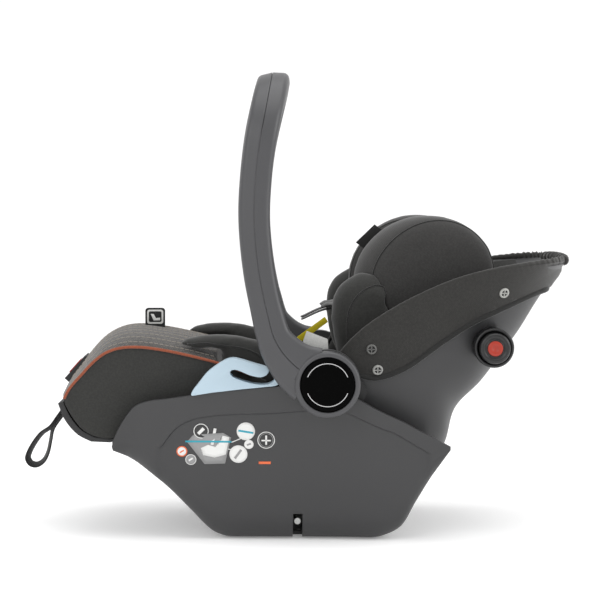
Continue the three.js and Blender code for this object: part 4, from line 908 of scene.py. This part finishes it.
def legrest_ring(share):
    """The pad's outline in side view at a share of its half width: the top rises with one less the
    share squared, and its nose reaches forward in the same way."""
    share = np.atleast_1d(share)[:, None]
    crown = (1 - share ** 2)
    top = spline(LEGREST_TOP, 70)
    i = np.linspace(0, 9, 70)[None]
    tx = top[None, :, 0] - LEGREST_NOSE * crown * (10 - i) / 10
    tz = top[None, :, 1] + LEGREST_CROWN * crown ** 0.8 * step(-0.5, 5, i)
    xs = np.linspace(-152, -268, 26)
    under = np.stack([xs, on_track(xs, 4.6)], -1)
    nose = spline([[-268, 127.2], [-287, 130.8], [-303, 139.9], [-316, 156.6], [-324, 171]], 16)[1:]
    fixed = np.vstack([[[-135, 215], [-134, 190], [-138, 160]], under, nose])
    fx = np.broadcast_to(fixed[None, :, 0], (len(share), len(fixed)))
    fz = np.broadcast_to(fixed[None, :, 1], (len(share), len(fixed)))
    return np.hstack([tx, fx]), np.hstack([tz, fz])


def legrest_pad():
    """Rings across the width, closed at each side by a panel of rings that shrink to its middle."""
    share = np.sin(np.linspace(-np.pi / 2, np.pi / 2, 41))
    x, z = legrest_ring(share)
    y = np.repeat(share[:, None] * LEGREST_HALF, x.shape[1], 1)
    body = np.stack([x, y, z], -1)
    shrink = np.sin(np.linspace(0, np.pi / 2, 13))[:-1, None, None]
    edge = body[0]
    mid = np.array([edge[:, 0].mean(), 0, edge[:, 2].mean() + 6])
    left = mid + (edge - mid) * shrink
    left[..., 1] = -LEGREST_HALF - 4.5 * (1 - shrink[..., 0] ** 2)
    right = left[::-1] * np.array([1, -1, 1])
    return np.concatenate([left, body, right], 0), len(left)


pad_grid, side_rows = legrest_pad()
legrest = grid_piece("legrest_pad_cover", pad_grid, SIDE_CLOTH, wrap_cols=True)
legrest.data.materials.append(KNIT)
rows, cols = pad_grid.shape[:2]
row_of, col_of = np.divmod(np.arange((rows - 1) * cols), cols)
on_top = (row_of >= side_rows) & (row_of < rows - side_rows - 1) & (col_of < 70)
legrest.data.polygons.foreach_set("material_index", on_top.astype(np.int32))
weld(legrest)
fit(legrest, "legrest", "knit_fabric", "legrest_cushion")

for name, side in SIDES.items():
    x, z = legrest_ring(1.0)
    flap_top = np.array([[-135, 220.5], [-112, 213], [-90, 206], [-74, 200.5]])
    edge = np.vstack([np.stack([x[0, :70], z[0, :70]], -1), flap_top])
    path = spline(edge[::4], 130)
    line = np.stack([path[:, 0], np.full(130, side * (LEGREST_HALF + 0.4)), path[:, 1] + 0.8], -1)
    fit(tube(f"legrest_piping_{name}", line, 1.9, PIPING, 10), "legrest", "knit_fabric")
    flap = extruded(f"legrest_flap_{name}",
                    [[-140, 221], *flap_top.tolist(), [-76, 172], [-140, 160]],
                    side * (LEGREST_HALF - 5), side * (LEGREST_HALF - 0.6), SIDE_CLOTH, bevel=1.2)
    fit(flap, "legrest", "knit_fabric")
stitch_shares = np.linspace(-0.88, 0.88, 13)
sx, sz = legrest_ring(stitch_shares)
lines = [np.stack([sx[k, 6:70], np.full(64, s * LEGREST_HALF), sz[k, 6:70]], -1)
         for k, s in enumerate(stitch_shares)]
ups = [np.stack([-np.gradient(l[:, 2]), 0 * l[:, 1], np.gradient(l[:, 0])], -1) for l in lines]
fit(dashes("legrest_stitching", lines, ups, THREAD, length=5, gap=1.5, width=0.8), "legrest",
    "knit_fabric")

tray_x = np.linspace(-152, -268, 24)
tray_under = np.stack([tray_x, on_track(tray_x, 0)], -1)
tray_over = np.stack([tray_x, on_track(tray_x, 4)], -1)
tray_outline = np.vstack([tray_under, spline([[-292, 124], [-309, 133], [-325, 152], [-333, 172]], 12),
                          spline([[-326, 174], [-318, 156], [-304, 139], [-288, 130]], 12), tray_over[::-1]])
tray = extruded("legrest_tray_moulding", tray_outline, -LEGREST_HALF + 1, LEGREST_HALF - 1, INNER_PP,
                bevel=0.9, smooth=True)
fit(tray, "legrest", "black_plastic", "legrest_tray")

# ---------------------------------------------------------------- stuffed cushions
# Foam and fibre cushions in brushed polyester. Each starts as its block, is made even, blown up as
# cloth under a little pressure, and held to within a few millimetres of the block.


def stuffed(name, node, body, material, slot, swell=4.0, cap=6.0, voxel=5.0, smooth_times=14,
            grow=2.0):
    """A cushion from the frame's block of the same place, smoothed, swollen as cloth, and capped."""
    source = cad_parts[node]
    mesh = source.data.copy()
    piece = bpy.data.objects.new(name, mesh)
    bpy.context.scene.collection.objects.link(piece)
    weld(piece)
    remesh = piece.modifiers.new("even", "REMESH")
    remesh.mode = "VOXEL"
    remesh.voxel_size = voxel * MM
    apply_all(piece)
    work = bmesh.new()
    work.from_mesh(piece.data)
    for _ in range(smooth_times):
        bmesh.ops.smooth_vert(work, verts=work.verts, factor=0.5, use_axis_x=True, use_axis_y=True,
                              use_axis_z=True)
    work.normal_update()
    for vert in work.verts:
        vert.co += vert.normal * grow * MM
    work.to_mesh(piece.data)
    work.free()
    start = read_points(piece)
    cloth = piece.modifiers.new("cloth", "CLOTH")
    cloth.settings.use_pressure = True
    cloth.settings.uniform_pressure_force = swell
    cloth.settings.effector_weights.gravity = 0
    cloth.settings.tension_stiffness = 12
    cloth.settings.compression_stiffness = 12
    for frame_number in range(1, 21):
        bpy.context.scene.frame_set(frame_number)
    apply_all(piece)
    bpy.context.scene.frame_set(1)
    moved = read_points(piece) - start
    far = np.linalg.norm(moved, axis=1, keepdims=True)
    limit = cap * MM
    held = start + moved * np.minimum(1, limit / np.maximum(far, 1e-9))
    piece.data.vertices.foreach_set("co", held.ravel())
    piece.data.materials.clear()
    piece.data.materials.append(material)
    piece.data.polygons.foreach_set("use_smooth", np.full(len(piece.data.polygons), True))
    finer = piece.modifiers.new("finer", "SUBSURF")
    finer.levels = finer.render_levels = 1
    piece.data.update()
    fit(piece, body, slot, node)
    return piece


def read_points(piece):
    """A piece's points as rows."""
    co = np.zeros(len(piece.data.vertices) * 3)
    piece.data.vertices.foreach_get("co", co)
    return co.reshape(-1, 3)


def apply_all(piece):
    """Bakes a piece's modifiers into its mesh."""
    view = bpy.context.evaluated_depsgraph_get()
    baked = bpy.data.meshes.new_from_object(piece.evaluated_get(view))
    piece.modifiers.clear()
    piece.data = baked


def near_point(piece, points, lift=0.0):
    """Points on a piece's skin nearest to the given ones, lifted along its normals; millimetres."""
    view = bpy.context.evaluated_depsgraph_get()
    tree = BVHTree.FromObject(piece, view)
    found = []
    for p in points:
        place, normal, _, _ = tree.find_nearest(Vector(np.asarray(p) * MM))
        found.append(np.array(place) / MM + lift * np.array(normal))
    return np.array(found)


def seam(name, piece, path, body, material=BINDING, radius=0.9, slot="cushion_fabric", closed=False):
    """A corded seam sewn along a path laid onto a cushion's skin."""
    laid = near_point(piece, path, 0.2)
    for _ in range(3):
        inner = (laid[:-2] + laid[2:]) / 2
        laid[1:-1] = (laid[1:-1] + inner) / 2
    return fit(tube(name, laid, radius, material, 8, closed=closed), body, slot)


stuffed("seat_cushion_foam", "seat_cushion", "base", CUSHION_CLOTH, "cushion_fabric")
stuffed("backrest_cushion_foam", "backrest_cushion", "backrest", CUSHION_CLOTH, "cushion_fabric", cap=3.0)
stuffed("headrest_cushion_foam", "headrest_cushion", "headrest", WING_CLOTH, "cushion_fabric")

# ---------------------------------------------------------------- bolsters and wings
# The side cushions each have an inner face, a gusset and a corded seam between the two.
WING_MIDDLE = (136.0, 322.0)
WING_RADIUS = 77
BOLSTER_SEAM = [[20, 236], [18, 262], [20, 288], [30, 308], [50, 322], [78, 325], [100, 316]]
THIGH_SEAM = [[-176, 250], [-150, 252], [-120, 249], [-90, 241], [-68, 226]]
for name, side in SIDES.items():
    thigh = stuffed(f"thigh_bolster_{name}_foam", f"thigh_bolster_{name}", "base", CUSHION_CLOTH,
                    "cushion_fabric", cap=3.0, voxel=4.0, smooth_times=6)
    path = spline(THIGH_SEAM, 60)
    seam(f"thigh_bolster_{name}_seam", thigh,
         np.stack([path[:, 0], np.full(60, side * 138.0), path[:, 1] - 6], -1), "base")
    bolster = stuffed(f"side_bolster_{name}_foam", f"side_bolster_{name}", "backrest", CUSHION_CLOTH,
                      "cushion_fabric", cap=3.5, voxel=4.0, smooth_times=8)
    path = spline(BOLSTER_SEAM, 70)
    seam(f"side_bolster_{name}_seam", bolster,
         np.stack([path[:, 0] + 8, np.full(70, side * 136.0), path[:, 1] - 4], -1), "backrest")
    wing = stuffed(f"headrest_wing_{name}_foam", f"headrest_wing_{name}", "headrest", WING_CLOTH,
                   "cushion_fabric", cap=4.0, voxel=4.5, smooth_times=10, grow=2.5)
    a = np.radians(np.linspace(-10, 235, 110))
    r = WING_RADIUS * (1 + 0.06 * np.cos(2 * (a - np.radians(40))))
    path = np.stack([WING_MIDDLE[0] + r * np.cos(a), np.full(110, side * 120.0),
                     WING_MIDDLE[1] + r * np.sin(a)], -1)
    seam(f"headrest_wing_{name}_seam", wing, path, "headrest", radius=1.0)
    path = np.stack([WING_MIDDLE[0] - 22 + 0.88 * r * np.cos(a), np.full(110, side * 74.0),
                     WING_MIDDLE[1] + 5 + 0.88 * r * np.sin(a)], -1)
    seam(f"headrest_wing_{name}_inner_seam", wing, path, "headrest", radius=0.8)

# ---------------------------------------------------------------- headrest grip
# A moulded grip at the head end of the headrest board, squeezed to move it.
BACK_UP = np.array([np.cos(np.radians(40)), np.sin(np.radians(40))])
BACK_OFF = np.array([-BACK_UP[1], BACK_UP[0]])


def off_back(along, off):
    """A side view point given along the lying surface and off it, from the headrest's foot."""
    return np.array([118.0, 218.0]) + along * BACK_UP + off * BACK_OFF


grip_outline = [off_back(150.5, 2.4), off_back(163, 2.4), off_back(167.6, 8), off_back(163, 13.6),
                off_back(150.5, 13.6)]
grip = extruded("headrest_grip_moulding", grip_outline, -33.5, 33.5, INNER_PP, bevel=2.2, segments=4)
fit(grip, "headrest", "black_plastic", "headrest_grip")

# ---------------------------------------------------------------- harness
# Polyester webbing from the shoulders to the buckle between the legs; ribbed pads on the shoulders.
STRAP_LINE = [[94, 187], [90, 214], [83, 240], [66, 263], [36, 281], [4, 283], [-28, 270]]
RED_ABS = moulded("abs_signal_red", "#a01512", 0.28, depth=0.0, speck=0.0)
PAD_CLOTH = woven("polyester_pad_ribbed_grey", "#3a3a39", 0.0012, depth=0.3)
for name, side in SIDES.items():
    path = spline(STRAP_LINE, 90)
    width_at = np.linspace(40, 24, 90) * side
    strap = np.stack([path[:, 0], width_at, path[:, 1]], -1)
    fit(tube(f"shoulder_strap_{name}_webbing", strap, 1.2, WEBBING, 12, flat=11.1), "backrest", "webbing",
        f"shoulder_strap_{name}")
    normal = np.stack([-np.gradient(path[:, 1]), np.gradient(path[:, 0])], -1)
    normal /= -np.linalg.norm(normal, axis=1, keepdims=True)
    lifted = path + 5.1 * normal
    part = slice(27, 76)
    ribs = 3.1 + 0.45 * np.sin(np.linspace(0, 22 * np.pi, 49))[:, None, None]
    pad_path = np.stack([lifted[part, 0], width_at[part], lifted[part, 1]], -1)
    ends = np.clip(np.minimum(np.arange(49), np.arange(49)[::-1]) / 3 + 0.45, 0, 1)[:, None, None]
    pad = tube(f"shoulder_pad_{name}_sleeve", pad_path, ribs * ends, PAD_CLOTH, 20, flat=6.8)
    fit(pad, "backrest", "cushion_fabric", f"shoulder_pad_{name}")
crotch = spline([[-70, 158.5], [-72, 170], [-74, 183]], 12)
crotch_path = np.stack([crotch[:, 0], 0 * crotch[:, 0], crotch[:, 1]], -1)
fit(tube("crotch_strap_webbing", crotch_path, 1.2, WEBBING, 12, flat=12.6), "backrest", "webbing",
    "crotch_strap")
for node in ("buckle_body", "buckle_tongue_left", "buckle_tongue_right", "harness_adjuster"):
    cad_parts[node].data.materials.clear()
    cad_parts[node].data.materials.append(INNER_PP)
for node in ("buckle_key", "adjuster_key"):
    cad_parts[node].data.materials.clear()
    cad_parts[node].data.materials.append(RED_ABS)
loop_line = [[-332.5, 160], [-346, 141.5], [-357.2, 126.5], [-369.5, 117.8], [-379.8, 104.5],
             [-386.5, 91.7], [-388, 85], [-384, 78.2], [-376.3, 76.4], [-367.5, 81.7], [-361.4, 93.5],
             [-357.8, 110], [-354.6, 124.6], [-343, 142], [-331.5, 157.5]]
path = spline(loop_line, 130)
sideways = np.stack([-0.3 * np.gradient(path[:, 1]), np.ones(130), 0.3 * np.gradient(path[:, 0])], -1)
sideways[:, [0, 2]] /= np.linalg.norm(np.gradient(path, axis=0), axis=1, keepdims=True)
loop_path = np.stack([path[:, 0], 0 * path[:, 0], path[:, 1]], -1)
fit(tube("pull_loop_webbing", loop_path, 1.4, WEBBING, 12, flat=7.0, out_dir=sideways), "legrest",
    "webbing", "pull_loop")

# ---------------------------------------------------------------- release lever
# The recline release is a plate let into the bucket's back; the finger recess behind it is not modelled.
lever_along = np.array([24.0, 41.0]) / np.hypot(24, 41)
lever_foot = np.array([267.0, 295.0]) - 8 * lever_along
lever_out = np.array([lever_along[1], -lever_along[0]])
at = lambda s, d: lever_foot + s * lever_along + d * lever_out
lever = extruded("release_lever_plate", [at(0, -4), at(0, -0.6), at(-20, 0.2), at(-46, -0.6), at(-46, -4)],
                 -51.5, 51.5, INNER_PP, bevel=1.1, segments=3)
fit(lever, "release_lever", "black_plastic", "release_lever")

# ---------------------------------------------------------------- labels
# Plain sewn labels and a printed panel of plain pictograms, with no writing on them.
INK_WHITE = moulded("print_white", "#d8d8d6", 0.5, depth=0.0, speck=0.0)
INK_GREY = moulded("print_grey", "#8b8b8b", 0.5, depth=0.0, speck=0.0)
INK_DARK = moulded("print_dark", "#2a2a2a", 0.5, depth=0.0, speck=0.0)
INK_CYAN = moulded("print_cyan", "#2596ab", 0.5, depth=0.0, speck=0.0)
INK_ORANGE = moulded("print_orange", "#d9663a", 0.5, depth=0.0, speck=0.0)
LABEL_WHITE = woven("satin_label_white", "#d2d2cf", 0.0012, depth=0.1, mottle=0.03)
LABEL_YELLOW = woven("satin_label_yellow", "#c9b816", 0.0012, depth=0.1, mottle=0.03)
LABEL_BLACK = woven("satin_label_black", "#161616", 0.0012, depth=0.1, mottle=0.03)
base_skin = bpy.data.objects["base_tub"]


def printed(name, outline, level, material):
    """A shape printed on the base's left wall: points are dropped on the wall along Y, and each
    level lies a little over the one below."""
    outline = np.asarray(outline, float)
    middle = outline.mean(0)
    rings = np.stack([middle + (outline - middle) * s for s in (1.0, 0.66, 0.33, 0.0)])
    spots = rings.reshape(-1, 2)
    tree = BVHTree.FromObject(base_skin, bpy.context.evaluated_depsgraph_get())
    ys = []
    for x, z in spots:
        hit = tree.ray_cast(Vector((x * MM, -0.3, z * MM)), Vector((0, 1, 0)))[0]
        ys.append(hit[1] / MM if hit is not None else -170.0)
    skin = np.stack([spots[:, 0], np.array(ys) - 0.25 - 0.12 * level, spots[:, 1]], -1)
    piece = grid_piece(name, skin.reshape(4, len(outline), 3), material, wrap_cols=True)
    weld(piece)
    thicken(piece, 0.2, offset=0)
    return fit(piece, "base", "shell_grey")


def disc(x, z, radius, count=36):
    """A round outline."""
    a = np.linspace(0, 2 * np.pi, count, endpoint=False)
    return np.stack([x + radius * np.cos(a), z + radius * np.sin(a)], -1)


def bar(x0, z0, x1, z1, width):
    """A straight bar's outline, with points along its sides so that it follows the wall."""
    a, b = np.array([x0, z0], float), np.array([x1, z1], float)
    side_way = np.array([-(b - a)[1], (b - a)[0]]) / np.linalg.norm(b - a) * width / 2
    run = a + (b - a) * np.linspace(0, 1, 9)[:, None]
    return np.vstack([run + side_way, run[::-1] - side_way])


PICTOGRAMS = (  # a shape, its level and its ink
    ("seat_side", [[-172, 126], [-164, 135], [-127, 137.5], [-117.5, 131.5], [-125, 98.5],
                   [-150.5, 97.5]], 0, INK_GREY),
    ("seat_body", [[-155, 118], [-146, 122], [-134, 119], [-128, 134], [-119.5, 132], [-124, 110],
                   [-138, 106], [-152, 109]], 1, INK_WHITE),
    ("seat_handle", bar(-141, 122, -137, 143, 3.6), 1, INK_WHITE),
    ("belt", bar(-174, 126.3, -117, 126.3, 2.2), 2, INK_CYAN),
    ("link_right", bar(-117, 125.5, -104, 131, 1.0), 0, INK_WHITE),
    ("link_low", bar(-121, 117, -112, 115, 1.0), 0, INK_WHITE),
    ("hint_a", disc(-154.4, 139.6, 9.4), 1, INK_WHITE),
    ("hint_a_field", disc(-154.4, 139.6, 8.3), 2, INK_DARK),
    ("hint_a_mark", bar(-158, 136, -151, 143, 4), 3, INK_WHITE),
    ("hint_b", disc(-99.2, 139.6, 11.3), 1, INK_WHITE),
    ("hint_b_belt", bar(-108.5, 140.5, -90, 137.5, 2.4), 2, INK_CYAN),
    ("hint_c", disc(-74.2, 128.5, 10.8), 1, INK_WHITE),
    ("hint_c_field", disc(-74.2, 128.5, 9.7), 2, INK_DARK),
    ("hint_c_inner", disc(-74.2, 128.5, 8.6), 3, INK_GREY),
    ("hint_c_core", disc(-74.2, 128.5, 7.9), 4, INK_DARK),
    ("hint_c_mark", bar(-74.2, 122.5, -74.2, 134.5, 2.2), 5, INK_WHITE),
    ("hint_c_cross", bar(-80, 128, -68.4, 128, 1.8), 5, INK_WHITE),
    ("hint_d", disc(-95.5, 123, 5.8), 1, INK_WHITE),
    ("hint_d_mark", bar(-98, 122, -93, 124, 2.2), 2, INK_GREY),
    ("hint_e", disc(-108.5, 110.6, 11.2), 1, INK_WHITE),
    ("hint_e_mark", bar(-113, 105, -105, 116, 3), 2, INK_GREY),
    ("hint_f", disc(-178.4, 113.7, 6.8), 1, INK_ORANGE),
    ("hint_f_field", disc(-178.4, 113.7, 5.3), 2, INK_WHITE),
    ("hint_f_mark", bar(-181, 112, -176, 115, 1.6), 3, INK_ORANGE),
    ("hint_g", disc(-167.4, 103.2, 6.8), 1, INK_WHITE),
    ("hint_g_field", disc(-167.4, 103.2, 5.9), 2, INK_GREY),
    ("hint_g_mark", bar(-170, 102, -165, 105, 2.2), 3, INK_WHITE),
    ("foot_bar", bar(-83.5, 99.6, -68.5, 99.6, 3.2), 0, INK_ORANGE),
)
for name, outline, level, ink in PICTOGRAMS:
    printed(f"base_print_{name}", outline, level, ink)


def sheet_label(name, corners, y, material, body, thickness=0.7, bevel=0.3, slot="cover_fabric"):
    """A flat label standing across Y at one place, from its side view corners."""
    plate = extruded(name, corners, y - thickness / 2, y + thickness / 2, material, bevel=bevel)
    return fit(plate, body, slot)


def rounded(x0, x1, z0, z1, radius, count=6):
    """A rectangle with rounded corners."""
    a = np.linspace(0, np.pi / 2, count)
    turns = ((x1, z1, 0), (x0, z1, 1), (x0, z0, 2), (x1, z0, 3))
    spots = []
    for x, z, k in turns:
        cx = x - radius if x == x1 else x + radius
        cz = z - radius if z == z1 else z + radius
        around = a + k * np.pi / 2
        spots += [[cx + radius * np.cos(b), cz + radius * np.sin(b)] for b in around]
    return spots


sheet_label("legrest_tag_cloth", rounded(-233, -207, 252, 283, 4), 0, LABEL_BLACK, "legrest", 1.6,
            slot="knit_fabric")
for side in (-1, 1):
    sheet_label(f"legrest_tag_field_{side + 2}", rounded(-230.6, -209.4, 262, 280.6, 3), side * 1.0,
                LABEL_WHITE, "legrest", 0.5, 0.1, slot="knit_fabric")
    sheet_label(f"legrest_tag_mark_{side + 2}", rounded(-228.4, -211.6, 264.4, 278.4, 2), side * 1.3,
                LABEL_BLACK, "legrest", 0.4, 0.1, slot="knit_fabric")
    sheet_label(f"legrest_tag_sign_{side + 2}", [[-226, 275], [-222, 275], [-219, 269.5], [-213.5, 270],
                                                [-213.5, 266.6], [-222, 266.4]], side * 1.55,
                LABEL_WHITE, "legrest", 0.3, 0.05, slot="knit_fabric")
sheet_label("headrest_tag", [[40, 370], [64, 393], [75, 385], [52, 361]], -64, LABEL_BLACK, "headrest")
sheet_label("cover_flap_label", [[-24, 262], [2, 252], [3, 234], [-31, 243]], -148, LABEL_WHITE, "backrest")
sheet_label("cover_yellow_label", [[-36, 236], [5, 266], [9.4, 259], [-31, 229]], 92, LABEL_YELLOW,
            "backrest", 1.0)
